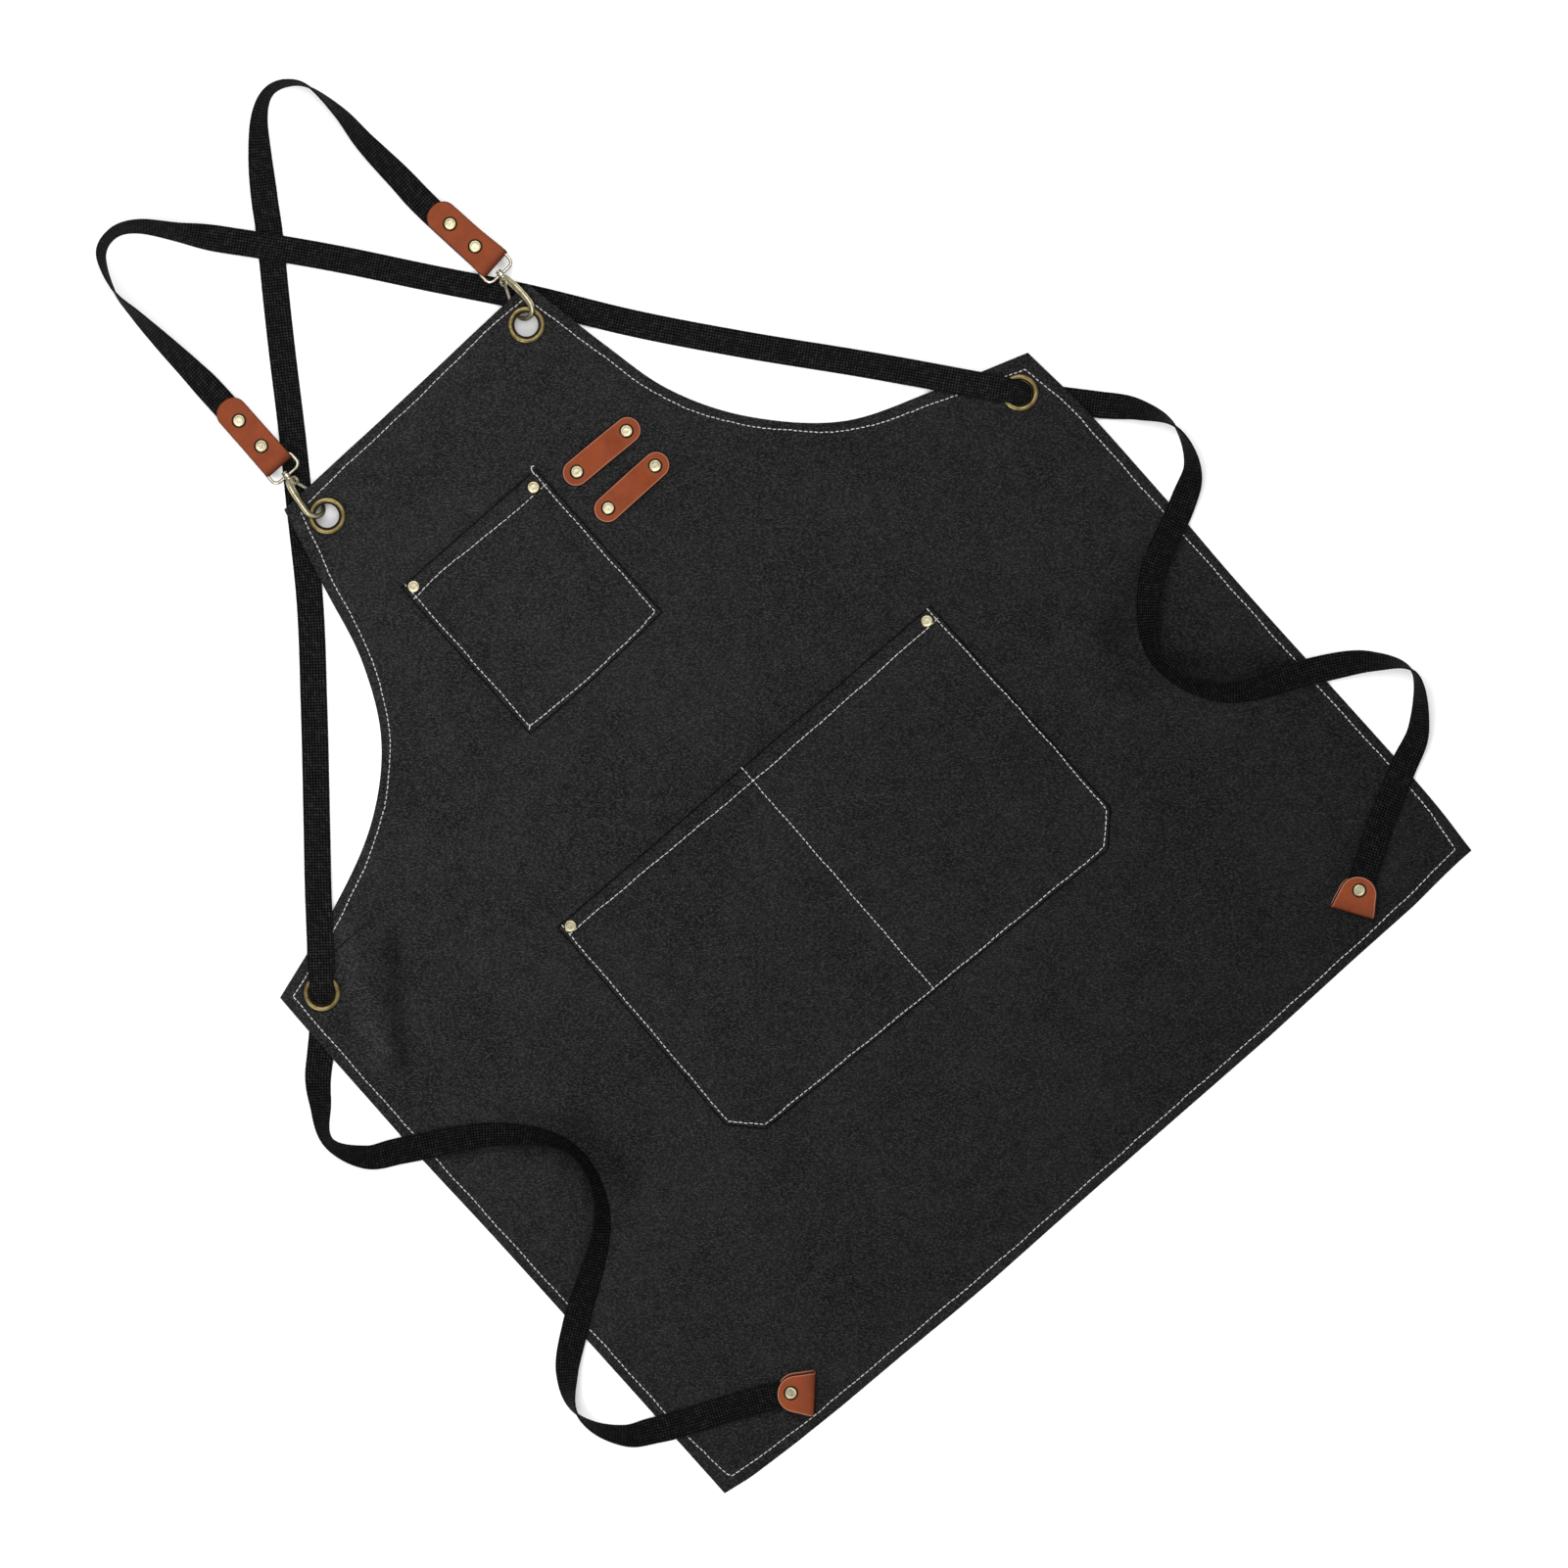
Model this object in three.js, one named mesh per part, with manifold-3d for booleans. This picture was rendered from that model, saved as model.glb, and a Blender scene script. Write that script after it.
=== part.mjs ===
// Cross-back artist apron, lying flat: millimetres, +Z up, +Y toward the bib, +X to the viewer's right.
import * as THREE from 'three';
import { mergeVertices } from 'three/addons/utils/BufferGeometryUtils.js';
import Module from 'manifold-3d';

const wasm = await Module();
wasm.setup();

// Driving dimensions
const gap = 0.3;
const overrun = 1;
const holeTop = 12;
const clothThick = 1.0;
const hemThick = 1.6;
const hemWidth = 7;
const hemStep = 1.5;
const hemLines = 2;
const hemBow = 8;
const hemBowReach = 200;
const shoulderDrop = 5.6;
const pocketHem = 12;
const strapWidth = 19;
const strapThick = 1.6;
const strapSteps = 78;
const leatherThick = 1.8;
const grommet = {
  bore: 8.4, barrel: 9.5, flange: 13.2, back: 11.2, plate: 0.7, hole: 9.9,
  edge: 12.8, edgeRise: 0.65, crownRise: 1.1, lipRise: 0.45,
};
const rivet = {
  head: 4.6, rim: 0.5, shoulder: 3, shoulderRise: 1.3, dome: 1.5,
  shank: 1.4, hole: 1.75, tail: 3.8, plate: 0.5, pocket: 4.2, recess: 0.75, clear: 0.1,
};
const toolLoop = { width: 20, end: 10.4, arch: 5.4, foot: 4.8, steps: 10 };
const strapTab = { width: 21.5, length: 61.5, corner: 8, slack: 3, behind: 5, rivets: [15, 38.9] };
const endTab = { width: 29, length: 29, corner: 14.4, slack: 2.2, behind: 16.5, rivets: [0] };
const wireLoop = { wire: 1.1, width: 24.6, length: 13.4, corner: 4.6, boss: 2.8, bossLength: 3.2, hole: 1.8 };
const hook = {
  shankTop: 2.3, shankLow: 1.8, thinAlong: 16.9, across: 3.2, straight: 28.2,
  bend: 8, bendSteps: 9, tip: 1.2, tipFrom: 0.625,
  post: 1.4, postHead: 2.5, headThick: 1.3, headGap: 0.6,
  eyeAcross: -2.2, eyeAlong: 5.5, eye: 3.4, eyeThick: 4.2, cheek: 4.8,
  slot: 2.2, slotReach: 2.3, slotSize: 10.2, pin: 0.8, pinInset: 0.1,
};
const lever = {
  hub: 1.9, hubThick: 1.6, hole: 0.9, start: 0.05, swell: 0.5, root: 1.1, end: 0.95,
  endAcross: -11.8, endAlong: 26.2,
};

// Fineness of the round and curved faces
const facets = {
  rivet: 8, recess: 10, wire: 8, boss: 10, hub: 12, eye: 14, grommet: 18, eyelet: 20, arc: 5, fold: 4,
};
const quarterTurn = [0, 30, 60, 90];
const curveTension = 0.5;
const weldDistance = 1e-4;

// Cut edges of the panel as it lies, a row for each level from the bottom hem up to the bib
const skirtEdge = [
  { leftX: -348, leftY: -362, rightX: 350, rightY: -370 },
  { leftX: -350.5, leftY: -130, rightX: 352, rightY: -130 },
  { leftX: -352, leftY: 50, rightX: 352, rightY: 40 },
  { leftX: -352, leftY: 110, rightX: 348, rightY: 102.5 },
];
const armholeEdge = [
  { leftX: -352, leftY: 110, rightX: 348, rightY: 102.5 },
  { leftX: -280, leftY: 133, rightX: 280, rightY: 126.5 },
  { leftX: -222, leftY: 160, rightX: 218, rightY: 152.5 },
  { leftX: -178, leftY: 199, rightX: 170, rightY: 199 },
  { leftX: -151, leftY: 250, rightX: 140.5, rightY: 250 },
  { leftX: -136.5, leftY: 306, rightX: 127, rightY: 304 },
  { leftX: -121, leftY: 367.5, rightX: 114, rightY: 374 },
];

// Rows of the cloth: distances up the side seam, then shares of the armhole's length
const skirtRows = [45, 105, 165, 225, 285, 335, 375, 405, 428, 448];
const armholeRows = [0.06, 0.13, 0.21, 0.3, 0.39, 0.48, 0.57, 0.66, 0.74, 0.82, 0.89];
const clothColumns = [0, 0.03, 0.08, 0.15, 0.25, 0.375, 0.5, 0.625, 0.75, 0.85, 0.92, 0.97, 1];

// Places where the cloth is held off the floor: full rise inside core, gone at core + reach
const lifts = [
  { x: -101, y: 350, rise: 7.8, core: 26, reach: 52 },
  { x: 95, y: 358, rise: 7.8, core: 26, reach: 52 },
  { x: -128, y: 328, rise: 2.8, core: 30, reach: 42 },
  { x: 122, y: 336, rise: 2.8, core: 30, reach: 42 },
  { x: -330, y: 88, rise: 3.5, core: 36, reach: 55 },
  { x: 328, y: 80, rise: 3.5, core: 36, reach: 55 },
];
// Soft folds of the lying cloth: ridge lines with their height and half-width
const folds = [
  { x0: -288, y0: 96, x1: -262, y1: 30, rise: 1.3, reach: 30 },
  { x0: -318, y0: 30, x1: -300, y1: -60, rise: 1.1, reach: 26 },
  { x0: 296, y0: 70, x1: 268, y1: 10, rise: 1.1, reach: 28 },
  { x0: -230, y0: -230, x1: -170, y1: -300, rise: 1.1, reach: 34 },
  { x0: 205, y0: -240, x1: 250, y1: -300, rise: 1.0, reach: 34 },
];

const grommetPlaces = [
  { name: 'bib_grommet_left', x: -101, y: 344, rise: 7.8 },
  { name: 'bib_grommet_right', x: 94.4, y: 352.2, rise: 7.8 },
  { name: 'side_grommet_left', x: -327.5, y: 93, rise: 3.5 },
  { name: 'side_grommet_right', x: 325, y: 85, rise: 3.5 },
];
const pocketRivets = [
  { name: 'chest_pocket_rivet_left', x: -88.3, y: 266 },
  { name: 'chest_pocket_rivet_right', x: 22, y: 262.6 },
  { name: 'waist_pocket_rivet_left', x: -164, y: 12 },
  { name: 'waist_pocket_rivet_right', x: 168.5, y: 7 },
];
const toolLoops = [
  { name: 'tool_loop_upper', x0: 52.4, y0: 250.5, x1: 97.8, y1: 249 },
  { name: 'tool_loop_lower', x0: 52, y0: 216.5, x1: 96.8, y1: 217 },
];
const chestPocket = { left: -95.5, right: 32, top: 271.3, bottomLeft: 133, bottomRight: 136, bow: 3.5 };
const waistPocket = {
  topLeft: [-171.5, 17.5], topRight: [177.5, 13.5],
  sideLeft: [-175, -166], sideRight: [178.8, -178.5],
  bottomLeft: [-155.5, -187.5], bottomRight: [157.5, -199.5],
};

// Strap routes as they lie: place of the middle line, height of what lies below, roll in degrees,
// and the width where the strap is gathered into a grommet
const strapRoutes = {
  strap_right: [
    { x: 102.4, y: 407.6, base: 5.15, roll: 0 },
    { x: 96.8, y: 462, base: 4.95, roll: 0 },
    { x: 95.8, y: 490, base: 0.4, roll: 18 },
    { x: 94, y: 525, base: 0.4, roll: 42 },
    { x: 94.5, y: 552, base: 0.4, roll: 64 },
    { x: 90.5, y: 582, base: 0.4, roll: 90 },
    { x: 80, y: 595, base: 0.4, roll: 102 },
    { x: 66, y: 597.5, base: 0.4, roll: 109 },
    { x: 50, y: 588, base: 0.4, roll: 124 },
    { x: 32, y: 567, base: 0.4, roll: 148 },
    { x: 14, y: 542, base: 0.9, roll: 174 },
    { x: -5, y: 514, base: 0.3, roll: 180 },
    { x: -60, y: 440, base: 0.3, roll: 180 },
    { x: -105, y: 375, base: 0.3, roll: 180 },
    { x: -150, y: 308, base: 0.3, roll: 180 },
    { x: -200, y: 246, base: 0.3, roll: 180 },
    { x: -250, y: 186.5, base: 0.5, roll: 180 },
    { x: -279, y: 152, base: 4.2, roll: 180 },
    { x: -301, y: 125, base: 5.6, roll: 180 },
    { x: -317, y: 105.6, base: 6.4, roll: 180, width: 16 },
    { x: -322.9, y: 98.5, base: 6.2, roll: 180, width: 12.5 },
    { x: -327.5, y: 93, base: 3.2, roll: 180, width: 12 },
    { x: -332.1, y: 87.5, base: 0.3, roll: 180, width: 12.5 },
    { x: -340, y: 78, base: 0.5, roll: 180, width: 17 },
    { x: -358, y: 60.5, base: 1.0, roll: 180 },
    { x: -381, y: 40, base: 0.4, roll: 146 },
    { x: -394, y: 11, base: 0.5, roll: 110 },
    { x: -381, y: -15, base: 0.5, roll: 148 },
    { x: -356, y: -30, base: 2.4, roll: 176 },
    { x: -300, y: -65, base: 2.2, roll: 150 },
    { x: -268, y: -108, base: 1.4, roll: 114 },
    { x: -284, y: -158, base: 1.6, roll: 126 },
    { x: -346, y: -201, base: 2.6, roll: 174 },
    { x: -376, y: -225, base: 0.8, roll: 216 },
    { x: -389, y: -252, base: 0.5, roll: 270 },
    { x: -376, y: -286, base: 0.4, roll: 318 },
    { x: -353, y: -298, base: 2.4, roll: 354 },
    { x: -310, y: -317, base: 2.4, roll: 360 },
    { x: -286, y: -328.5, base: 4.3, roll: 360 },
    { x: -262, y: -342, base: 4.4, roll: 360 },
  ],
  strap_left: [
    { x: -103.8, y: 401, base: 5.15, roll: 0 },
    { x: -104, y: 458, base: 4.95, roll: 0 },
    { x: -105, y: 485, base: 0.4, roll: -28 },
    { x: -107, y: 515, base: 0.4, roll: -50 },
    { x: -108.6, y: 540, base: 0.4, roll: -69 },
    { x: -109.3, y: 564, base: 0.4, roll: -90 },
    { x: -101, y: 590, base: 0.4, roll: -106 },
    { x: -84, y: 595.5, base: 0.4, roll: -109 },
    { x: -66, y: 586.5, base: 0.4, roll: -118 },
    { x: -46, y: 563, base: 1.2, roll: -135 },
    { x: -27, y: 540, base: 2.8, roll: -176 },
    { x: -5, y: 514, base: 2.6, roll: -180 },
    { x: 45, y: 453.5, base: 0.5, roll: -180 },
    { x: 100, y: 380, base: 0.3, roll: -180 },
    { x: 150, y: 306, base: 0.3, roll: -180 },
    { x: 200, y: 241, base: 0.3, roll: -180 },
    { x: 250, y: 180, base: 0.5, roll: -180 },
    { x: 277, y: 146, base: 4.2, roll: -180 },
    { x: 298.5, y: 118.5, base: 5.6, roll: -180 },
    { x: 315, y: 97.6, base: 6.4, roll: -180, width: 16 },
    { x: 320.6, y: 90.6, base: 6.2, roll: -180, width: 12.5 },
    { x: 325, y: 85, base: 3.2, roll: -180, width: 12 },
    { x: 329.4, y: 79.4, base: 0.3, roll: -180, width: 12.5 },
    { x: 337, y: 70, base: 0.5, roll: -180, width: 17 },
    { x: 361, y: 42, base: 0.9, roll: -180 },
    { x: 380, y: 20, base: 0.6, roll: -218 },
    { x: 391.5, y: -6, base: 0.5, roll: -268 },
    { x: 382, y: -35, base: 0.4, roll: -306 },
    { x: 357, y: -51.5, base: 2.4, roll: -352 },
    { x: 305, y: -77, base: 2.2, roll: -330 },
    { x: 272.5, y: -120, base: 1.4, roll: -294 },
    { x: 293, y: -170, base: 1.6, roll: -318 },
    { x: 352, y: -201, base: 2.8, roll: -354 },
    { x: 386, y: -223, base: 0.8, roll: -402 },
    { x: 403, y: -249, base: 0.5, roll: -454 },
    { x: 380, y: -280, base: 0.4, roll: -498 },
    { x: 353, y: -294, base: 2.4, roll: -534 },
    { x: 316, y: -312.5, base: 2.4, roll: -540 },
    { x: 291, y: -327, base: 4.3, roll: -540 },
    { x: 264, y: -342.5, base: 4.4, roll: -540 },
  ],
};

// Hooks with their strap tabs: place of the loop's far bar, turn of the tab and of the hook, hand of the hook
const hookPlaces = [
  { side: 'left', hand: -1, x: -103.8, y: 397.4, tabTurn: 0, hookTurn: -7.5 },
  { side: 'right', hand: 1, x: 103, y: 404.1, tabTurn: 6.2, hookTurn: -3 },
];
const tabHeight = 5.95;
const hookPitch = THREE.MathUtils.degToRad(-7);
const hookRoll = THREE.MathUtils.degToRad(40);
const endTabPlaces = [
  { side: 'left', x: -265.5, y: -339.5, turn: 52 },
  { side: 'right', x: 272, y: -338.7, turn: -60 },
];
const endTabHeight = 5.2;

const canvas = { color: 0x2c2c2d, roughness: 0.95, metalness: 0 };
const webbing = { color: 0x161617, roughness: 0.9, metalness: 0 };
const leather = { color: 0x9c5230, roughness: 0.6, metalness: 0 };
const antiqueBrass = { color: 0x8f7a4c, roughness: 0.4, metalness: 1 };
const paleBrass = { color: 0xcfc295, roughness: 0.35, metalness: 1 };
const nickel = { color: 0xdad5c8, roughness: 0.3, metalness: 1 };

const apron = new THREE.Group();

function addPiece(parent, name, geometry, look) {
  const mesh = new THREE.Mesh(geometry, new THREE.MeshStandardMaterial(look));
  mesh.name = name;
  parent.add(mesh);
  return mesh;
}

// Closed geometry to solid, with shared corners merged
function solidOf(geometry) {
  const bare = geometry.clone();
  bare.deleteAttribute('normal');
  bare.deleteAttribute('uv');
  const merged = mergeVertices(bare, weldDistance);
  const vertProperties = new Float32Array(merged.attributes.position.array);
  const triVerts = new Uint32Array(merged.index.array);
  return new wasm.Manifold(new wasm.Mesh({ numProp: 3, vertProperties, triVerts }));
}

function geometryOf(solid) {
  const mesh = solid.getMesh();
  const geometry = new THREE.BufferGeometry();
  geometry.setAttribute('position', new THREE.BufferAttribute(new Float32Array(mesh.vertProperties), 3));
  geometry.setIndex(new THREE.BufferAttribute(new Uint32Array(mesh.triVerts), 1));
  geometry.computeVertexNormals();
  return geometry;
}

function indexedGeometry(points, triangles) {
  const geometry = new THREE.BufferGeometry();
  geometry.setFromPoints(points);
  geometry.setIndex(triangles);
  geometry.computeVertexNormals();
  return geometry;
}

// Upright cylinder from z0 to z1
function post(radius, x, y, z0, z1, sides) {
  const geometry = new THREE.CylinderGeometry(radius, radius, z1 - z0, sides);
  geometry.rotateX(Math.PI / 2);
  geometry.translate(x, y, (z0 + z1) / 2);
  return solidOf(geometry);
}

// Plan outline given thickness from z0 to z1
function slab(shape, z0, z1) {
  const depth = z1 - z0;
  const curveSegments = facets.arc;
  const geometry = new THREE.ExtrudeGeometry(shape, { depth, bevelEnabled: false, curveSegments });
  geometry.translate(0, 0, z0);
  return solidOf(geometry);
}

// Turned piece: radius and height pairs carried round the Z axis
function turned(profile, sides) {
  const points = profile.map(([radius, height]) => new THREE.Vector2(radius, height));
  const geometry = new THREE.LatheGeometry(points, sides);
  geometry.rotateX(Math.PI / 2);
  return geometry;
}

// Skin through a row of rings, each turning counter-clockwise about the way along; ends capped unless closed.
// The diagonals of a ring's two halves run the same way, so a flat ring keeps its thickness where it twists.
function loft(rings, closed) {
  const sides = rings[0].length;
  const spans = closed ? rings.length : rings.length - 1;
  const triangles = [];
  for (let i = 0; i < spans; i += 1) {
    const here = i * sides;
    const next = ((i + 1) % rings.length) * sides;
    for (let j = 0; j < sides; j += 1) {
      const k = (j + 1) % sides;
      if (j < sides / 2) triangles.push(here + j, here + k, next + k, here + j, next + k, next + j);
      else triangles.push(here + j, here + k, next + j, here + k, next + k, next + j);
    }
  }
  if (!closed) {
    const last = (rings.length - 1) * sides;
    for (let j = 1; j < sides - 1; j += 1) {
      triangles.push(0, j + 1, j, last, last + j, last + j + 1);
    }
  }
  return indexedGeometry(rings.flat(), triangles);
}

// Round wire along a flat path in the XY plane, with a radius for each point
function wire(path, radii, sides, closed) {
  const rings = path.map((point, i) => {
    const before = closed ? path.at(i - 1) : path[Math.max(i - 1, 0)];
    const after = closed ? path[(i + 1) % path.length] : path[Math.min(i + 1, path.length - 1)];
    const along = new THREE.Vector3(after.x - before.x, after.y - before.y, 0).normalize();
    const across = new THREE.Vector3(along.y, -along.x, 0);
    return Array.from({ length: sides }, (_, j) => {
      const angle = (2 * Math.PI * j) / sides;
      const offset = across.clone().multiplyScalar(Math.sin(angle) * radii[i]);
      return new THREE.Vector3(point.x + offset.x, point.y + offset.y, Math.cos(angle) * radii[i]);
    });
  });
  return loft(rings, closed);
}

// Height of the cloth's underside: the largest lift at a place, plus the folds there
function clothRise(x, y) {
  let rise = 0;
  for (const lift of lifts) {
    const share = (Math.hypot(x - lift.x, y - lift.y) - lift.core) / lift.reach;
    rise = Math.max(rise, lift.rise * (1 - THREE.MathUtils.smoothstep(share, 0, 1)));
  }
  for (const fold of folds) {
    const start = new THREE.Vector3(fold.x0, fold.y0, 0);
    const ridge = new THREE.Line3(start, new THREE.Vector3(fold.x1, fold.y1, 0));
    const place = new THREE.Vector3(x, y, 0);
    const distance = ridge.closestPointToPoint(place, true, new THREE.Vector3()).distanceTo(place);
    rise += fold.rise * (1 - THREE.MathUtils.smoothstep(distance / fold.reach, 0, 1));
  }
  return rise;
}

function edgeCurve(rows, side) {
  const points = rows.map((row) => new THREE.Vector3(row[`${side}X`], row[`${side}Y`], 0));
  return new THREE.CatmullRomCurve3(points, false, 'catmullrom', curveTension);
}

// One row of the cloth between its two edges: the hem's inner line follows each edge at hemWidth
function clothRow(left, right, share, bow) {
  const start = left.getPointAt(share);
  const end = right.getPointAt(share);
  const length = start.distanceTo(end);
  const row = end.clone().sub(start).normalize();
  const slant = (curve) => Math.abs(row.clone().cross(curve.getTangentAt(share)).z);
  const leftHem = hemWidth / slant(left) / length;
  const rightHem = hemWidth / slant(right) / length;
  const leftStep = leftHem * (1 + hemStep / hemWidth);
  const rightStep = rightHem * (1 + hemStep / hemWidth);
  const inside = clothColumns.map((column) => leftStep + column * (1 - leftStep - rightStep));
  const places = [0, leftHem, ...inside, 1 - rightHem, 1];
  return places.map((place) => {
    const point = start.clone().lerp(end, place);
    point.y -= bow * 4 * place * (1 - place);
    return point;
  });
}

function panelRows() {
  const sideLeft = edgeCurve(skirtEdge, 'left');
  const sideRight = edgeCurve(skirtEdge, 'right');
  const armLeft = edgeCurve(armholeEdge, 'left');
  const armRight = edgeCurve(armholeEdge, 'right');
  const side = sideLeft.getLength();
  const arm = armLeft.getLength();
  const up = [0, hemWidth, hemWidth + hemStep, ...skirtRows, side - shoulderDrop];
  const skirt = up.map((distance) => {
    const bow = hemBow * Math.max(0, 1 - distance / hemBowReach);
    return clothRow(sideLeft, sideRight, distance / side, bow);
  });
  const shares = [0, ...armholeRows, 1 - (hemWidth + hemStep) / arm, 1 - hemWidth / arm, 1];
  const bib = shares.map((share) => clothRow(armLeft, armRight, share, 0));
  return [...skirt, ...bib];
}

// Cloth wall from rows of plan points: flat below apart from its lifts, thicker along every edge
function clothWall(rows) {
  const count = rows[0].length;
  const lastRow = rows.length - 1;
  const top = [];
  const bottom = [];
  rows.forEach((row, r) => row.forEach((point, c) => {
    const fromSide = Math.min(c, count - 1 - c);
    const fromEnd = Math.min(r, lastRow - r);
    const hemmed = Math.min(fromSide, fromEnd) < hemLines;
    const rise = clothRise(point.x, point.y);
    bottom.push(new THREE.Vector3(point.x, point.y, rise));
    top.push(new THREE.Vector3(point.x, point.y, rise + (hemmed ? hemThick : clothThick)));
  }));
  const below = top.length;
  const triangles = [];
  const quad = (a, b, c, d) => triangles.push(a, b, c, a, c, d);
  for (let r = 0; r < lastRow; r += 1) {
    for (let c = 0; c < count - 1; c += 1) {
      const a = r * count + c;
      quad(a, a + 1, a + count + 1, a + count);
      quad(below + a, below + a + count, below + a + count + 1, below + a + 1);
    }
  }
  for (let c = 0; c < count - 1; c += 1) {
    const far = lastRow * count + c;
    quad(below + c, below + c + 1, c + 1, c);
    quad(below + far + 1, below + far, far, far + 1);
  }
  for (let r = 0; r < lastRow; r += 1) {
    const near = r * count;
    const far = near + count - 1;
    quad(below + near + count, below + near, near, near + count);
    quad(below + far, below + far + count, far + count, far);
  }
  return solidOf(indexedGeometry([...top, ...bottom], triangles));
}

function rivetHole(x, y) {
  const shaft = post(rivet.hole, x, y, -overrun, holeTop, facets.rivet);
  return shaft.add(post(rivet.pocket, x, y, -overrun, rivet.recess, facets.recess));
}

// Rivet from the underside of its tail plate up to the seat of its domed head
function rivetGeometry(tailZ, seatZ) {
  return turned([
    [0, tailZ],
    [rivet.tail, tailZ],
    [rivet.tail, tailZ + rivet.plate],
    [rivet.shank, tailZ + rivet.plate],
    [rivet.shank, seatZ],
    [rivet.head, seatZ],
    [rivet.head, seatZ + rivet.rim],
    [rivet.shoulder, seatZ + rivet.shoulderRise],
    [0, seatZ + rivet.dome],
  ], facets.rivet);
}

function addRivet(parent, name, x, y, tailZ, seatZ) {
  const mesh = addPiece(parent, name, rivetGeometry(tailZ, seatZ), paleBrass);
  mesh.position.set(x, y, 0);
}

const loopRivets = toolLoops.flatMap((loop) => [
  { name: `${loop.name}_rivet_left`, x: loop.x0, y: loop.y0 },
  { name: `${loop.name}_rivet_right`, x: loop.x1, y: loop.y1 },
]);
const clothSeat = clothThick + gap;
const pocketTop = clothSeat + hemThick;
const loopTop = clothSeat + leatherThick;

function addPanel() {
  let cloth = clothWall(panelRows());
  for (const place of grommetPlaces) {
    cloth = cloth.subtract(post(grommet.hole, place.x, place.y, -overrun, holeTop, facets.eyelet));
  }
  for (const place of [...pocketRivets, ...loopRivets]) {
    cloth = cloth.subtract(rivetHole(place.x, place.y));
  }
  addPiece(apron, 'apron_panel', geometryOf(cloth), canvas);
}

function addPocket(name, outline, band, rivets) {
  let cloth = slab(outline, clothSeat, clothSeat + clothThick).add(slab(band, clothSeat, pocketTop));
  for (const place of rivets) {
    cloth = cloth.subtract(rivetHole(place.x, place.y));
  }
  addPiece(apron, name, geometryOf(cloth), canvas);
}

function chestOutline() {
  const { left, right, top, bottomLeft, bottomRight, bow } = chestPocket;
  const shape = new THREE.Shape();
  shape.moveTo(left, bottomLeft);
  shape.quadraticCurveTo((left + right) / 2, (bottomLeft + bottomRight) / 2 - bow, right, bottomRight);
  shape.lineTo(right, top);
  shape.lineTo(left, top);
  return shape;
}

function chestBand() {
  const { left, right, top } = chestPocket;
  const corners = [[left, top - pocketHem], [right, top - pocketHem], [right, top], [left, top]];
  return new THREE.Shape(corners.map(([x, y]) => new THREE.Vector2(x, y)));
}

function waistOutline() {
  const { topLeft, topRight, sideLeft, sideRight, bottomLeft, bottomRight } = waistPocket;
  const corners = [topLeft, sideLeft, bottomLeft, bottomRight, sideRight, topRight];
  return new THREE.Shape(corners.map(([x, y]) => new THREE.Vector2(x, y)));
}

function waistBand() {
  const { topLeft, topRight } = waistPocket;
  const corners = [
    topLeft, [topLeft[0], topLeft[1] - pocketHem], [topRight[0], topRight[1] - pocketHem], topRight,
  ];
  return new THREE.Shape(corners.map(([x, y]) => new THREE.Vector2(x, y)));
}

// Leather band riveted at both ends, arched between them to take a brush or pencil
function addToolLoop({ name, x0, y0, x1, y1 }) {
  const reach = Math.hypot(x1 - x0, y1 - y0) / 2;
  const archHalf = reach - toolLoop.foot;
  const archAt = (x) => toolLoop.arch * Math.cos((Math.PI / 2) * Math.min(1, Math.abs(x) / archHalf)) ** 2;
  const { steps } = toolLoop;
  const stations = Array.from({ length: steps + 1 }, (_, i) => archHalf * ((2 * i) / steps - 1));
  const ends = reach + toolLoop.end;
  const under = [-ends, ...stations, ends].map((x) => new THREE.Vector2(x, clothSeat + archAt(x)));
  const over = under.map((point) => new THREE.Vector2(point.x, point.y + leatherThick)).reverse();
  const side = new THREE.ExtrudeGeometry(new THREE.Shape([...under, ...over]), {
    depth: toolLoop.width, bevelEnabled: false,
  });
  side.rotateX(Math.PI / 2);
  side.translate(0, toolLoop.width / 2, 0);
  const radius = toolLoop.width / 2;
  const plan = new THREE.Shape();
  plan.absarc(ends - radius, 0, radius, -Math.PI / 2, Math.PI / 2);
  plan.absarc(radius - ends, 0, radius, Math.PI / 2, 1.5 * Math.PI);
  let band = solidOf(side).intersect(slab(plan, 0, holeTop));
  for (const x of [-reach, reach]) {
    band = band.subtract(rivetHole(x, 0));
  }
  const mesh = addPiece(apron, name, geometryOf(band), leather);
  mesh.position.set((x0 + x1) / 2, (y0 + y1) / 2, 0);
  mesh.rotation.z = Math.atan2(y1 - y0, x1 - x0);
}

function addGrommet({ name, x, y, rise }) {
  const back = rise - gap - grommet.plate;
  const front = rise + clothThick + gap;
  const profile = [
    [grommet.bore, back],
    [grommet.back, back],
    [grommet.back, back + grommet.plate],
    [grommet.barrel, back + grommet.plate],
    [grommet.barrel, front],
    [grommet.flange, front],
    [grommet.edge, front + grommet.edgeRise],
    [(grommet.flange + grommet.bore) / 2, front + grommet.crownRise],
    [grommet.bore, front + grommet.lipRise],
    [grommet.bore, back],
  ];
  const mesh = addPiece(apron, name, turned(profile, facets.grommet), antiqueBrass);
  mesh.position.set(x, y, 0);
}

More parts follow.
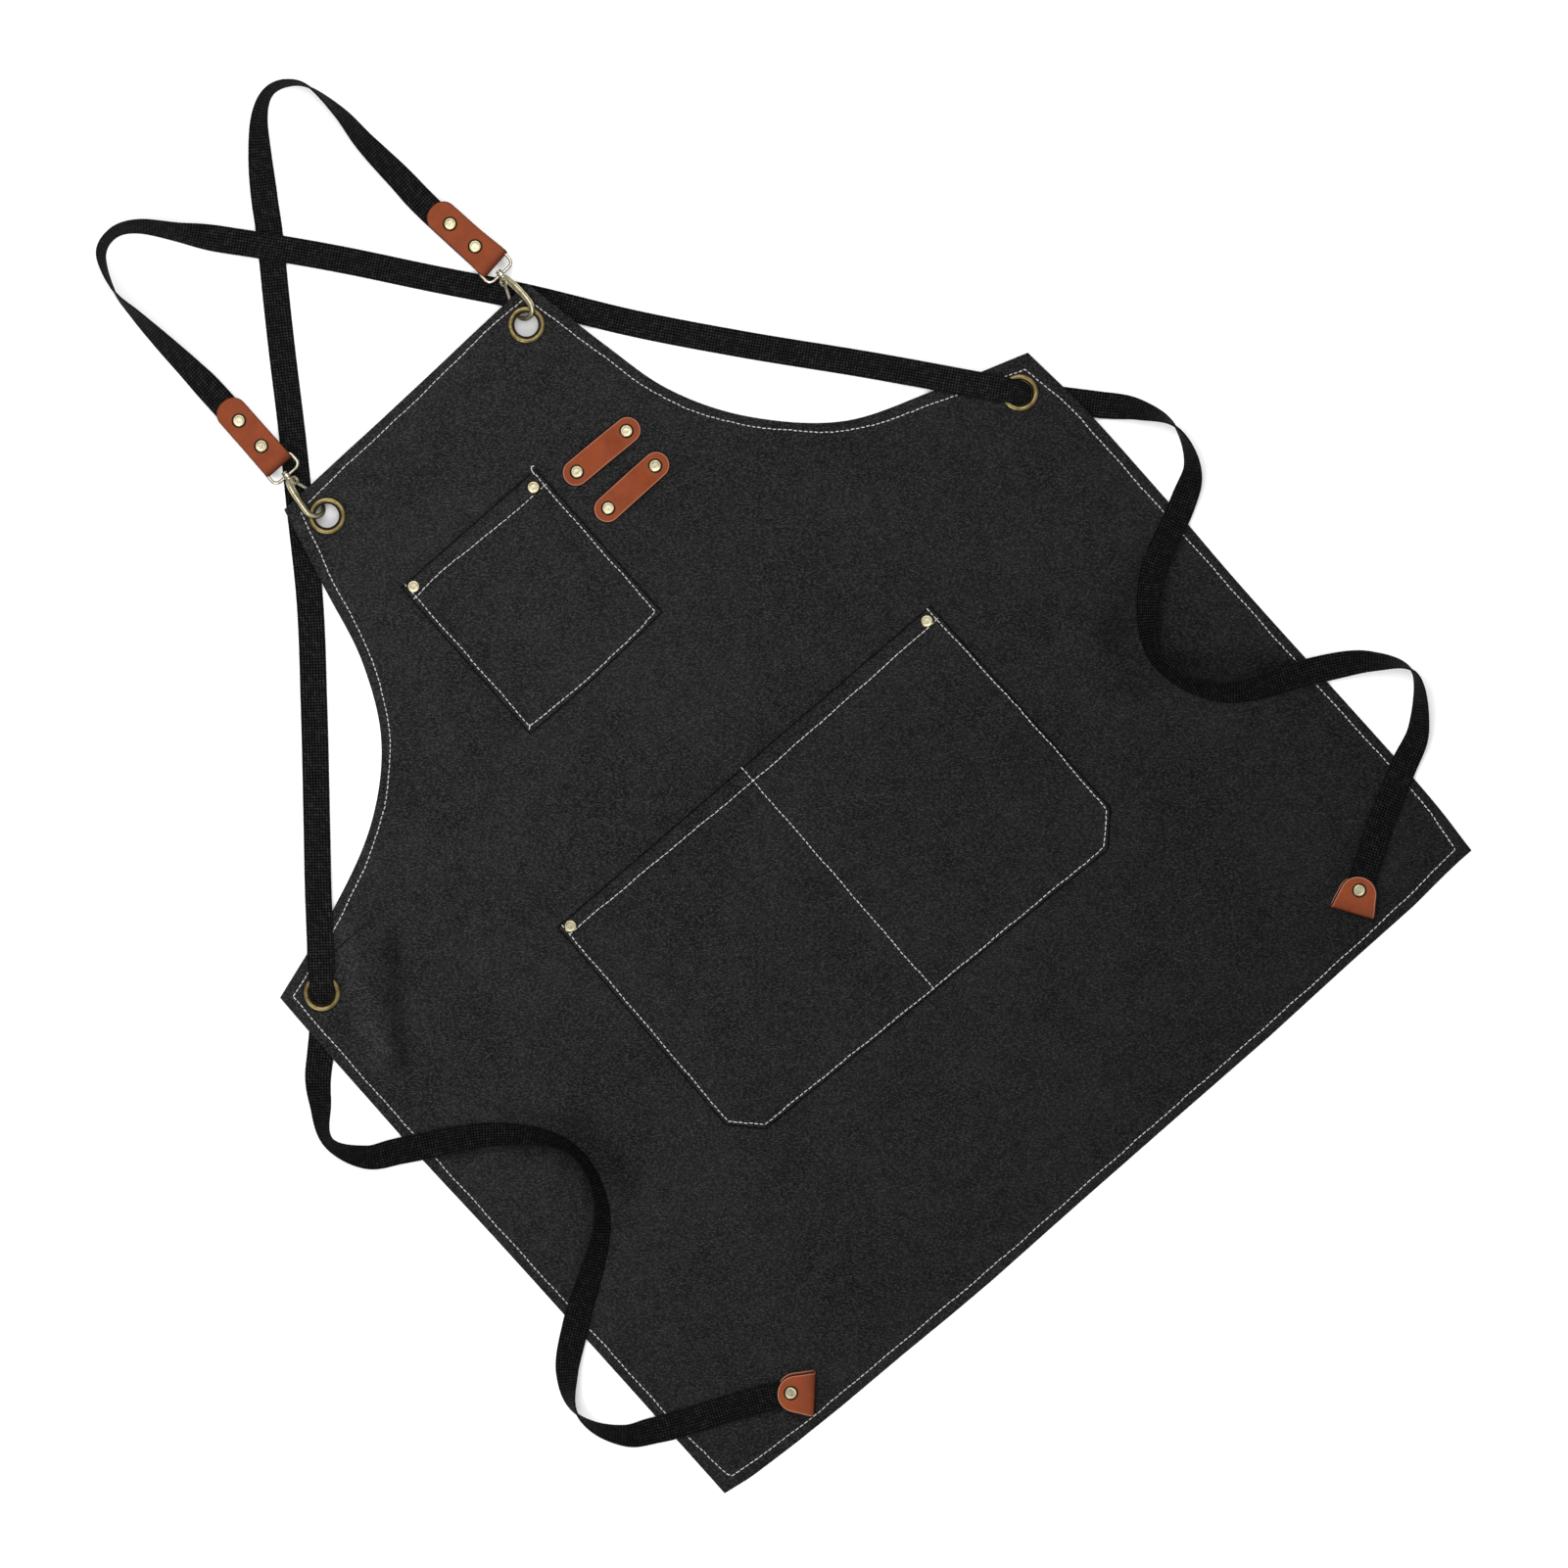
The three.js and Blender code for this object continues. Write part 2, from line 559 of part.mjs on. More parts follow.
// Flat webbing: a rectangle carried along the route, rolled about the way along and resting on its lower edge
function strapRings(route) {
  const lines = route.map(({ x, y, base, roll, width = strapWidth }) => {
    const turn = THREE.MathUtils.degToRad(roll);
    const halfHeight = (width * Math.abs(Math.sin(turn)) + strapThick * Math.abs(Math.cos(turn))) / 2;
    return { middle: new THREE.Vector3(x, y, base + halfHeight), section: new THREE.Vector3(turn, width, 0) };
  });
  const through = (points) => new THREE.CatmullRomCurve3(points, false, 'catmullrom', curveTension);
  const middle = through(lines.map((line) => line.middle));
  const section = through(lines.map((line) => line.section));
  return Array.from({ length: strapSteps + 1 }, (_, i) => {
    const share = i / strapSteps;
    const point = middle.getPoint(share);
    const along = middle.getTangent(share);
    const { x: turn, y: width } = section.getPoint(share);
    const level = new THREE.Vector3(-along.y, along.x, 0).normalize();
    const upright = along.clone().cross(level);
    const across = level.clone().multiplyScalar(Math.cos(turn)).addScaledVector(upright, Math.sin(turn));
    const normal = along.clone().cross(across);
    const corners = [[-1, -1], [1, -1], [1, 1], [-1, 1]];
    return corners.map(([u, v]) => point.clone()
      .addScaledVector(across, (u * width) / 2)
      .addScaledVector(normal, (v * strapThick) / 2));
  });
}

function addStrap(name, rivetPlaces) {
  let band = solidOf(loft(strapRings(strapRoutes[name]), false));
  for (const place of rivetPlaces) {
    band = band.subtract(post(rivet.hole, place.x, place.y, 0, holeTop, facets.rivet));
  }
  addPiece(apron, name, geometryOf(band), webbing);
}

// Leather strip folded over at -Y, its two layers running to a rounded end at +Y
function foldedTab(tab) {
  const inner = tab.slack / 2;
  const outer = inner + leatherThick;
  const bendY = outer - tab.behind;
  const endY = tab.length - tab.behind;
  const side = new THREE.Shape();
  side.moveTo(endY, -outer);
  side.lineTo(endY, -inner);
  side.lineTo(bendY, -inner);
  side.absarc(bendY, 0, inner, -Math.PI / 2, Math.PI / 2, true);
  side.lineTo(endY, inner);
  side.lineTo(endY, outer);
  side.lineTo(bendY, outer);
  side.absarc(bendY, 0, outer, Math.PI / 2, 1.5 * Math.PI, false);
  const geometry = new THREE.ExtrudeGeometry(side, {
    depth: tab.width, bevelEnabled: false, curveSegments: facets.fold,
  });
  geometry.translate(0, 0, -tab.width / 2);
  const toYZX = new THREE.Matrix4().makeBasis(
    new THREE.Vector3(0, 1, 0), new THREE.Vector3(0, 0, 1), new THREE.Vector3(1, 0, 0),
  );
  geometry.applyMatrix4(toYZX);
  const half = tab.width / 2;
  const plan = new THREE.Shape();
  plan.moveTo(-half, -tab.behind - overrun);
  plan.lineTo(half, -tab.behind - overrun);
  plan.absarc(half - tab.corner, endY - tab.corner, tab.corner, 0, Math.PI / 2);
  plan.absarc(tab.corner - half, endY - tab.corner, tab.corner, Math.PI / 2, Math.PI);
  const reach = outer + overrun;
  let strip = solidOf(geometry).intersect(slab(plan, -reach, reach));
  for (const y of tab.rivets) {
    strip = strip.subtract(post(rivet.hole, 0, y, -reach, reach, facets.rivet));
  }
  return geometryOf(strip);
}

function addTab(parent, name, tab) {
  const outer = tab.slack / 2 + leatherThick;
  addPiece(parent, name, foldedTab(tab), leather);
  tab.rivets.forEach((y, i) => {
    const suffix = tab.rivets.length > 1 ? `_${i + 1}` : '';
    addRivet(parent, `${name}_rivet${suffix}`, 0, y, -outer - gap - rivet.plate, outer + gap);
  });
}

// Rounded rectangle of wire with a bored boss on its near bar
function loopGeometry() {
  const { wire: radius, width, length, corner, boss, bossLength, hole } = wireLoop;
  const half = width / 2 - corner;
  const centres = [
    { x: half, y: -corner, from: 0 },
    { x: -half, y: -corner, from: 90 },
    { x: -half, y: corner - length, from: 180 },
    { x: half, y: corner - length, from: 270 },
  ];
  const path = centres.flatMap(({ x, y, from }) => quarterTurn.map((step) => {
    const angle = THREE.MathUtils.degToRad(from + step);
    return new THREE.Vector2(x + corner * Math.cos(angle), y + corner * Math.sin(angle));
  }));
  const ring = solidOf(wire(path, path.map(() => radius), facets.wire, true));
  const along = (r, from, to, sides) => {
    const bar = new THREE.CylinderGeometry(r, r, to - from, sides);
    bar.translate(0, (from + to) / 2 - length, 0);
    return solidOf(bar);
  };
  const solid = ring.add(along(boss, -bossLength / 2, bossLength / 2, facets.hub));
  return geometryOf(solid.subtract(along(hole, -bossLength, bossLength, facets.boss)));
}

// Hook in its own plane: post and head, neck, forked eye with its pin, straight shank and half-round bend
function hookGeometry(hand) {
  const path = [
    new THREE.Vector2(hand * hook.across, -hook.eyeAlong),
    new THREE.Vector2(hand * hook.across, -hook.thinAlong),
  ];
  const radii = [hook.shankTop, hook.shankLow];
  for (let i = 0; i <= hook.bendSteps; i += 1) {
    const share = i / hook.bendSteps;
    const across = hook.across - hook.bend + hook.bend * Math.cos(Math.PI * share);
    path.push(new THREE.Vector2(hand * across, -hook.straight - hook.bend * Math.sin(Math.PI * share)));
    radii.push(THREE.MathUtils.lerp(hook.shankLow, hook.tip, Math.min(1, share / hook.tipFrom)));
  }
  const along = (radius, from, to) => {
    const bar = new THREE.CylinderGeometry(radius, radius, to - from, facets.boss);
    bar.translate(0, -(from + to) / 2, 0);
    return solidOf(bar);
  };
  const neck = hook.eyeAlong - hook.slotReach - gap;
  const headEnd = -wireLoop.bossLength / 2 - hook.headGap;
  const eyeX = hand * hook.eyeAcross;
  const half = hook.eyeThick / 2;
  const cheek = new THREE.BoxGeometry(hook.across - hook.eyeAcross, hook.cheek, hook.eyeThick);
  cheek.translate((hand * (hook.across + hook.eyeAcross)) / 2, -hook.eyeAlong, 0);
  const slotShift = hook.slotSize / 2 - hook.slotReach;
  const slot = new THREE.BoxGeometry(hook.slotSize, hook.slotSize, hook.slot);
  slot.translate(eyeX - hand * slotShift, -hook.eyeAlong - slotShift, 0);
  return geometryOf(
    solidOf(wire(path, radii, facets.wire, false))
      .add(solidOf(cheek))
      .add(post(hook.eye, eyeX, -hook.eyeAlong, -half, half, facets.eye))
      .subtract(solidOf(slot))
      .add(post(hook.pin, eyeX, -hook.eyeAlong, hook.pinInset - half, half - hook.pinInset, facets.hub))
      .add(along(hook.post, headEnd - hook.headThick, neck))
      .add(along(hook.postHead, headEnd - hook.headThick, headEnd)),
  );
}

// Spring lever: a hub on the eye's pin and a bar that closes on the hook's tip
function leverGeometry(hand) {
  const from = new THREE.Vector2(hand * hook.eyeAcross, -hook.eyeAlong);
  const to = new THREE.Vector2(hand * lever.endAcross, -lever.endAlong);
  const half = lever.hubThick / 2;
  const path = [from.clone().lerp(to, lever.start), from.clone().lerp(to, lever.swell), to];
  const bar = wire(path, [half, lever.root, lever.end], facets.wire, false);
  return geometryOf(
    solidOf(bar)
      .add(post(lever.hub, from.x, from.y, -half, half, facets.hub))
      .subtract(post(lever.hole, from.x, from.y, -half - overrun, half + overrun, facets.hub)),
  );
}

function addHook({ side, hand, x, y, tabTurn, hookTurn }) {
  const tabGroup = new THREE.Group();
  tabGroup.position.set(x, y, tabHeight);
  tabGroup.rotation.z = THREE.MathUtils.degToRad(tabTurn);
  apron.add(tabGroup);
  addTab(tabGroup, `strap_tab_${side}`, strapTab);
  const wireRing = addPiece(tabGroup, `hook_loop_${side}`, loopGeometry(), nickel);
  wireRing.rotation.x = hookPitch;
  const swivel = new THREE.Vector3(0, -wireLoop.length, 0).applyEuler(wireRing.rotation);
  swivel.applyEuler(tabGroup.rotation).add(tabGroup.position);
  const hookGroup = new THREE.Group();
  hookGroup.position.copy(swivel);
  hookGroup.rotation.set(hookPitch, -hand * hookRoll, THREE.MathUtils.degToRad(hookTurn), 'ZXY');
  apron.add(hookGroup);
  addPiece(hookGroup, `snap_hook_${side}`, hookGeometry(hand), paleBrass);
  addPiece(hookGroup, `hook_lever_${side}`, leverGeometry(hand), nickel);
}

function addEndTab({ side, x, y, turn }) {
  const group = new THREE.Group();
  group.position.set(x, y, endTabHeight);
  group.rotation.z = THREE.MathUtils.degToRad(turn);
  apron.add(group);
  addTab(group, `end_tab_${side}`, endTab);
}

function tabRivetPlaces({ x, y, tabTurn }) {
  const turn = THREE.MathUtils.degToRad(tabTurn);
  return strapTab.rivets.map((along) => ({ x: x - along * Math.sin(turn), y: y + along * Math.cos(turn) }));
}

function rivetsOf(pocket) {
  return pocketRivets.filter(({ name }) => name.startsWith(pocket));
}

const [leftHook, rightHook] = hookPlaces;
const [leftEnd, rightEnd] = endTabPlaces;

addPanel();
addPocket('chest_pocket', chestOutline(), chestBand(), rivetsOf('chest'));
addPocket('waist_pocket', waistOutline(), waistBand(), rivetsOf('waist'));
toolLoops.forEach(addToolLoop);
pocketRivets.forEach(({ name, x, y }) => addRivet(apron, name, x, y, rivet.clear, pocketTop + gap));
loopRivets.forEach(({ name, x, y }) => addRivet(apron, name, x, y, rivet.clear, loopTop + gap));
grommetPlaces.forEach(addGrommet);
addStrap('strap_left', [...tabRivetPlaces(leftHook), rightEnd]);
addStrap('strap_right', [...tabRivetPlaces(rightHook), leftEnd]);
hookPlaces.forEach(addHook);
endTabPlaces.forEach(addEndTab);

export default apron;
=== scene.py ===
import math

import bpy
import numpy as np
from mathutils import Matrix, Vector


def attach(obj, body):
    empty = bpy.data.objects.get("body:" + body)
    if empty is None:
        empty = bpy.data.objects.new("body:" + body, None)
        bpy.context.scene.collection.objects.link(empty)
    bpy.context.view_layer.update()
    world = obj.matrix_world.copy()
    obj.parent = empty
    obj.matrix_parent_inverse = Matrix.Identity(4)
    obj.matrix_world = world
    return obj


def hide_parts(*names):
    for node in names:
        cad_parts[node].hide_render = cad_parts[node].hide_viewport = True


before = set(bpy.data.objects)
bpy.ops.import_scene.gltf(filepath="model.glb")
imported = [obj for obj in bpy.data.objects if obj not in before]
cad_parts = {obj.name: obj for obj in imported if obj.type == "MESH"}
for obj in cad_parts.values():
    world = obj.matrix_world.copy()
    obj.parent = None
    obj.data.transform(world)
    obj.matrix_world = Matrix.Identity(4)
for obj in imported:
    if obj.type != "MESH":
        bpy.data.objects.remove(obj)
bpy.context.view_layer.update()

print("frame loaded:", len(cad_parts), "CAD pieces")

# Camera, floor and light

photoView = {
    "middle": (0.01614, -0.01256),   # apron point under the middle of the picture
    "turn": -41.4,                  # degrees that the picture is turned against the apron
    "across": 1.1118,               # metres of floor across the picture
    "lens": 300.0,                  # long, so that raised pieces hardly shift outward
    "sensor": 36.0,
}

studio = {
    "horizon": 0.10,                # sky strength at the horizon
    "zenith": 1.22,                 # and overhead,
    "full": 0.9,                    # which it has from this share of the height on
    "backdrop": 0.92,               # what the camera sees over the floor's far edge
    "floorTone": 0.92,
    "floorGlow": 0.12,
    "floorHalf": 9.0,
    "floorDrop": 0.0005,
    # x, y, radius of the core, radius where it has faded, tone: floor in the shade of the bib's bores
    # and of the hooks
    "shadeSpots": [(-0.101, 0.344, 0.012, 0.024, 0.56), (0.0944, 0.3522, 0.012, 0.024, 0.56),
                   (-0.1015, 0.3522, 0.0018, 0.0042, 0.05), (0.0990, 0.3600, 0.0018, 0.0042, 0.05),
                   (-0.1080, 0.3900, 0.0015, 0.0075, 0.60), (0.1095, 0.3972, 0.0020, 0.0075, 0.56)],
    "softBoxes": [
        {"name": "softBoxLeft", "place": (-1.6, -0.5, 2.2), "side": 1.0, "watts": 28.0},
        {"name": "softBoxTop", "place": (0.5, 1.0, 2.9), "side": 1.6, "watts": 37.0},
    ],
}


# Straight down; height = metres across the picture x lens / sensor.
def placeCamera():
    data = bpy.data.cameras.new("photoCamera")
    data.lens = photoView["lens"]
    data.sensor_width = photoView["sensor"]
    camera = bpy.data.objects.new("photoCamera", data)
    height = photoView["across"] * photoView["lens"] / photoView["sensor"]
    camera.location = (*photoView["middle"], height)
    camera.rotation_euler = (0, 0, math.radians(photoView["turn"]))
    bpy.context.scene.collection.objects.link(camera)
    bpy.context.scene.camera = camera


# Sky that brightens from the horizon up, so that polished edges have something dark to reflect; behind the
# floor the camera sees an even backdrop.
def lightSky():
    world = bpy.data.worlds.new("studioSky")
    bpy.context.scene.world = world
    world.use_nodes = True
    tree = world.node_tree
    sky = tree.nodes["Background"]
    way = tree.nodes.new("ShaderNodeTexCoord")
    height = addNode(tree, "ShaderNodeSeparateXYZ", {0: way.outputs["Generated"]}).outputs["Z"]
    strength = rangeOf(tree, height, 0.0, studio["full"], studio["horizon"], studio["zenith"])
    seen = tree.nodes.new("ShaderNodeLightPath").outputs["Is Camera Ray"]
    tree.links.new(rangeOf(tree, seen, 0.0, 1.0, strength, studio["backdrop"]), sky.inputs["Strength"])
    sky.inputs["Color"].default_value = (1, 1, 1, 1)


# Matt paper that glows a little. Each spot paints shade into it: a tone of its own at the core, which goes
# over evenly into the floor's tone where the spot has faded.
def paperFinish(low):
    paint = bpy.data.materials.new("palePaper")
    paint.use_nodes = True
    tree = paint.node_tree
    paper = tree.nodes["Principled BSDF"]
    spot = tree.nodes.new("ShaderNodeTexCoord").outputs["Object"]
    tone = studio["floorTone"]
    for x, y, core, shadeEdgeAndLightLevel, shade in studio["shadeSpots"]:
        away = addNode(tree, "ShaderNodeVectorMath", {0: spot, 1: (x, y, low)}, operation="DISTANCE")
        tone = rangeOf(tree, away.outputs["Value"], core, shadeEdgeAndLightLevel, shade, tone)
    tree.links.new(tone, paper.inputs["Base Color"])
    paper.inputs["Roughness"].default_value = 1.0
    paper.inputs["Specular IOR Level"].default_value = 0.0
    paper.inputs["Emission Color"].default_value = (1, 1, 1, 1)
    paper.inputs["Emission Strength"].default_value = studio["floorGlow"]
    return paint


# Large square of paper just under the apron.
def layFloor():
    half, low = studio["floorHalf"], -studio["floorDrop"]
    mesh = bpy.data.meshes.new("studioFloor")
    corners = [(-half, -half, low), (half, -half, low), (half, half, low), (-half, half, low)]
    mesh.from_pydata(corners, [], [[0, 1, 2, 3]])
    mesh.materials.append(paperFinish(low))
    floor = bpy.data.objects.new("studioFloor", mesh)
    bpy.context.scene.collection.objects.link(floor)


# Square lamps turned to face the apron, between the sky and the floor.
def lightStudio():
    bpy.context.scene.view_settings.view_transform = "Standard"
    lightSky()
    for box in studio["softBoxes"]:
        data = bpy.data.lights.new(box["name"], "AREA")
        data.size = box["side"]
        data.energy = box["watts"]
        lamp = bpy.data.objects.new(box["name"], data)
        lamp.location = box["place"]
        lamp.rotation_euler = (-Vector(box["place"])).to_track_quat("-Z", "Y").to_euler()
        bpy.context.scene.collection.objects.link(lamp)
    layFloor()


# Shaping in arrays

upward = np.array([0, 0, 1.0])
unturned = np.eye(3)


# 0 below low, 1 above high, and 3t^2 - 2t^3 between them.
def softStep(low, high, value):
    t = np.clip((value - low) / (high - low), 0, 1)
    return t * t * (3 - 2 * t)


# Catmull-Rom line through given rows: every span is a cubic through its two rows, with slopes taken
# from the rows on both sides, and the ends are carried straight on.
def smoothLine(rows, steps):
    rows = np.asarray(rows, float)
    run = np.vstack([2 * rows[0] - rows[1], rows, 2 * rows[-1] - rows[-2]])
    a, b, c, d = (run[i:len(run) - 3 + i, None] for i in range(4))
    t = np.linspace(0, 1, steps, endpoint=False)[None, :, None]
    spans = 0.5 * (2 * b + (c - a) * t + (2 * a - 5 * b + 4 * c - d) * t**2 + (3 * b - a - 3 * c + d) * t**3)
    return np.vstack([spans.reshape(-1, rows.shape[1]), rows[-1:]])


# Distance travelled to each point of a line.
def travelled(line):
    steps = np.linalg.norm(np.diff(line, axis=0), axis=1)
    return np.concatenate([[0], np.cumsum(steps)])


# Points of a line at given distances along it.
def pointsAt(line, distances):
    travel = travelled(line)
    return np.stack([np.interp(distances, travel, column) for column in line.T], -1)


# Unit directions of a line at given distances, from points a little before and after.
def directionsAt(line, distances, reach=0.0005):
    end = travelled(line)[-1]
    ahead = pointsAt(line, np.minimum(distances + reach, end))
    step = ahead - pointsAt(line, np.maximum(distances - reach, 0))
    return step / np.linalg.norm(step, axis=-1, keepdims=True)


# Distance from plan points to the nearest straight piece of a closed outline: what is left of the way from
# the piece's start when its part along the piece is taken off. Worked in blocks, to spare memory.
def outlineDistance(points, outline, blockSize=1500, least=1e-14):
    along = np.roll(outline, -1, axis=0) - outline
    square = np.maximum((along**2).sum(-1), least)
    flat = points.reshape(-1, 2)
    nearest = []
    for block in np.array_split(flat, len(flat) // blockSize + 1):
        gap = block[:, None] - outline
        share = np.clip((gap * along).sum(-1) / square, 0, 1)
        away = gap - share[..., None] * along
        nearest.append(np.sqrt((away**2).sum(-1).min(1)))
    return np.concatenate(nearest).reshape(points.shape[:-1])


# Quads between the neighbours of a grid of rows x columns, closed round either way when asked.
def gridQuads(rows, columns, wrapRows=False, wrapColumns=False):
    r = np.arange(rows if wrapRows else rows - 1)[:, None]
    c = np.arange(columns if wrapColumns else columns - 1)[None, :]
    r1, c1 = (r + 1) % rows, (c + 1) % columns
    corners = [r * columns + c, r * columns + c1, r1 * columns + c1, r1 * columns + c]
    return np.stack(np.broadcast_arrays(*corners), -1).reshape(-1, 4)


# A part of a piece: points, faces, a mark for each point that its material reads, and its place on the cloth.
def partOf(points, faces, mark=0.0, uv=None):
    points = np.asarray(points, float).reshape(-1, 3)
    mark = np.broadcast_to(np.ravel(mark).astype(float), len(points))
    return {"points": points, "faces": faces, "mark": mark, "uv": uv}


# Rings of points joined each to the next; open ends get flat caps.
def tubePart(rings, mark=0.0, uv=None, loop=False):
    count, sides = rings.shape[:2]
    faces = gridQuads(count, sides, wrapRows=loop, wrapColumns=True).tolist()
    if not loop:
        faces += [list(range(sides - 1, -1, -1)), list(range((count - 1) * sides, count * sides))]
    return partOf(rings, faces, mark, uv)


# Turned form: each (radius, height) of the profile becomes a ring round the upright axis.
def turnedPart(profile, sides, loop=False, mark=None):
    profile = np.asarray(profile, float)
    angle = 2 * np.pi * np.arange(sides) / sides
    ring = np.stack([np.cos(angle), np.sin(angle), np.zeros(sides)], -1)
    rings = profile[:, 0, None, None] * ring + profile[:, 1, None, None] * upward
    marks = 0.0 if mark is None else np.repeat(np.asarray(mark, float), sides)
    return tubePart(rings, marks, loop=loop)


# Wire in the XY plane: an oval of the two half sizes carried along a plan path. The oval is
# |x|^power + |y|^power = 1, so a power over 2 flattens its faces.
def wirePart(path, across, up, sides, loop=False, power=2.0):
    path = np.asarray(path, float)
    if loop:
        step = np.roll(path, -1, axis=0) - np.roll(path, 1, axis=0)
    else:
        step = np.gradient(path, axis=0)
    step /= np.linalg.norm(step, axis=1, keepdims=True)
    side = np.stack([-step[:, 1], step[:, 0], np.zeros(len(path))], -1)
    centre = np.column_stack([path, np.zeros(len(path))])
    angle = 2 * np.pi * np.arange(sides) / sides
    wide, tall = (np.sign(wave) * np.abs(wave) ** (2 / power) for wave in (np.cos(angle), np.sin(angle)))
    across = np.broadcast_to(across, len(path))[:, None, None]
    up = np.broadcast_to(up, len(path))[:, None, None]
    rings = centre[:, None] + across * wide[:, None] * side[:, None] + up * tall[:, None] * upward
    return tubePart(rings, loop=loop)


# Rings round the points of a line: centre + radius x (cos x sideways + sin x upward).
def ringsAround(centre, square, radius, sides):
    angle = 2 * np.pi * np.arange(sides) / sides
    side = np.column_stack([square, np.zeros(len(square))])
    turn = np.cos(angle)[:, None] * side[:, None] + np.sin(angle)[:, None] * upward
    return centre[:, None] + np.reshape(radius, (-1, 1, 1)) * turn


# Plate with softened edges: a counter-clockwise outline, drawn in toward its middle at the two faces.
def platePart(outline, low, high, bevel, steps=4):
    step = np.roll(outline, -1, axis=0) - np.roll(outline, 1, axis=0)
    inward = np.stack([-step[:, 1], step[:, 0]], -1) / np.linalg.norm(step, axis=1, keepdims=True)
    turn = np.linspace(0, np.pi / 2, steps)
    insets = bevel * np.concatenate([1 - np.sin(turn), (1 - np.sin(turn))[::-1]])
    heights = np.concatenate([low + bevel * (1 - np.cos(turn)), (high - bevel * (1 - np.cos(turn)))[::-1]])
    plan = outline + insets[:, None, None] * inward
    levels = np.broadcast_to(heights[:, None, None], (*plan.shape[:2], 1))
    return tubePart(np.concatenate([plan, levels], -1))


# Turning matrix about one axis, in degrees.
def turnAbout(axis, degrees):
    c, s = math.cos(math.radians(degrees)), math.sin(math.radians(degrees))
    return np.array({
        "x": [[1, 0, 0], [0, c, -s], [0, s, c]],
        "y": [[c, 0, s], [0, 1, 0], [-s, 0, c]],
        "z": [[c, -s, 0], [s, c, 0], [0, 0, 1]],
    }[axis])


# A part turned and then moved into its place.
def placed(part, turn, place):
    return {**part, "points": part["points"] @ turn.T + np.asarray(place, float)}


# The same for parts that stay together.
def placedAll(parts, turn, place):
    return [placed(part, turn, place) for part in parts]


# One mesh of several parts, each part's faces numbered on from the points before it.
def joinedMesh(name, parts):
    starts = np.cumsum([0] + [len(part["points"]) for part in parts])
    faces = [[start + i for i in face] for part, start in zip(parts, starts) for face in part["faces"]]
    mesh = bpy.data.meshes.new(name)
    mesh.from_pydata(np.concatenate([part["points"] for part in parts]).tolist(), [], faces)
    return mesh


# Makes a piece of its parts, at the origin, and ties it to its body and CAD pieces. Edges that turn by
# more than the sharp angle, in degrees, stay sharp.
def makePiece(name, parts, material, nodes=(), body="root", sharp=38):
    mesh = joinedMesh(name, parts)
    mesh.shade_smooth()
    mesh.set_sharp_from_angle(angle=math.radians(sharp))
    mark = mesh.attributes.new("mark", "FLOAT", "POINT")
    mark.data.foreach_set("value", np.concatenate([part["mark"] for part in parts]).astype(np.float32))
    if parts[0]["uv"] is not None:
        corner = np.empty(len(mesh.loops), np.int32)
        mesh.loops.foreach_get("vertex_index", corner)
        places = np.concatenate([part["uv"] for part in parts])[corner]
        mesh.uv_layers.new(name="lay").data.foreach_set("uv", places.astype(np.float32).ravel())
    mesh.materials.append(material)
    piece = bpy.data.objects.new(name, mesh)
    bpy.context.scene.collection.objects.link(piece)
    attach(piece, body)
    if nodes:
        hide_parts(*nodes)
    return piece


# Finishes


# Adds a node; its sockets take plain values or other nodes' outputs.
def addNode(tree, kind, sockets=None, **settings):
    node = tree.nodes.new(kind)
    for name, value in settings.items():
        setattr(node, name, value)
    for name, value in (sockets or {}).items():
        if isinstance(value, bpy.types.NodeSocket):
            tree.links.new(value, node.inputs[name])
        else:
            node.inputs[name].default_value = value
    return node


# One sum, product or other operation on two values.
def mathOf(tree, operation, a, b=0.0):
    return addNode(tree, "ShaderNodeMath", {0: a, 1: b}, operation=operation).outputs[0]


# Colour a, going over into b by the share.
def mixOf(tree, share, a, b):
    return addNode(tree, "ShaderNodeMix", {0: share, 6: a, 7: b}, data_type="RGBA").outputs[2]


# A value carried evenly from low to high onto another range; a mask of 0 to 1 unless asked.
def rangeOf(tree, value, low, high, toLow=0.0, toHigh=1.0):
    sockets = {0: value, 1: low, 2: high, 3: toLow, 4: toHigh}
    return addNode(tree, "ShaderNodeMapRange", sockets).outputs[0]


noiseTilt = {"Axis": (1.0, 0.6, 0.0), "Angle": 0.6}


# Noise read on a tilted slice, because a slice along the noise's own lattice comes out weak.
def noiseOf(tree, vector, scale, detail=2.0, roughness=0.5):
    tilted = addNode(tree, "ShaderNodeVectorRotate", {"Vector": vector, **noiseTilt})
    sockets = {"Vector": tilted.outputs[0], "Scale": scale, "Detail": detail, "Roughness": roughness}
    return addNode(tree, "ShaderNodeTexNoise", sockets).outputs["Fac"]


# A place multiplied axis by axis, so that a pattern read there is drawn out where the factor is small.
def stretched(tree, vector, scale):
    return addNode(tree, "ShaderNodeVectorMath", {0: vector, 1: scale}, operation="MULTIPLY").outputs[0]


# A colour multiplied by a level.
def dimmed(tree, tone, level):
    return addNode(tree, "ShaderNodeVectorMath", {0: tone, "Scale": level}, operation="SCALE").outputs[0]


# Linear colour, opaque.
def rgb(red, green, blue):
    return (red, green, blue, 1.0)


placeCamera()
lightStudio()
print("camera, light and floor set")


# Empty node group with named inputs and outputs.
def newGroup(name, inputs, outputs):
    tree = bpy.data.node_groups.new(name, "ShaderNodeTree")
    for label, kind, value in inputs:
        socket = tree.interface.new_socket(label, in_out="INPUT", socket_type=kind)
        if value is not None:
            socket.default_value = value
    for label in outputs:
        tree.interface.new_socket(label, in_out="OUTPUT", socket_type="NodeSocketFloat")
    return tree, tree.nodes.new("NodeGroupInput"), tree.nodes.new("NodeGroupOutput")


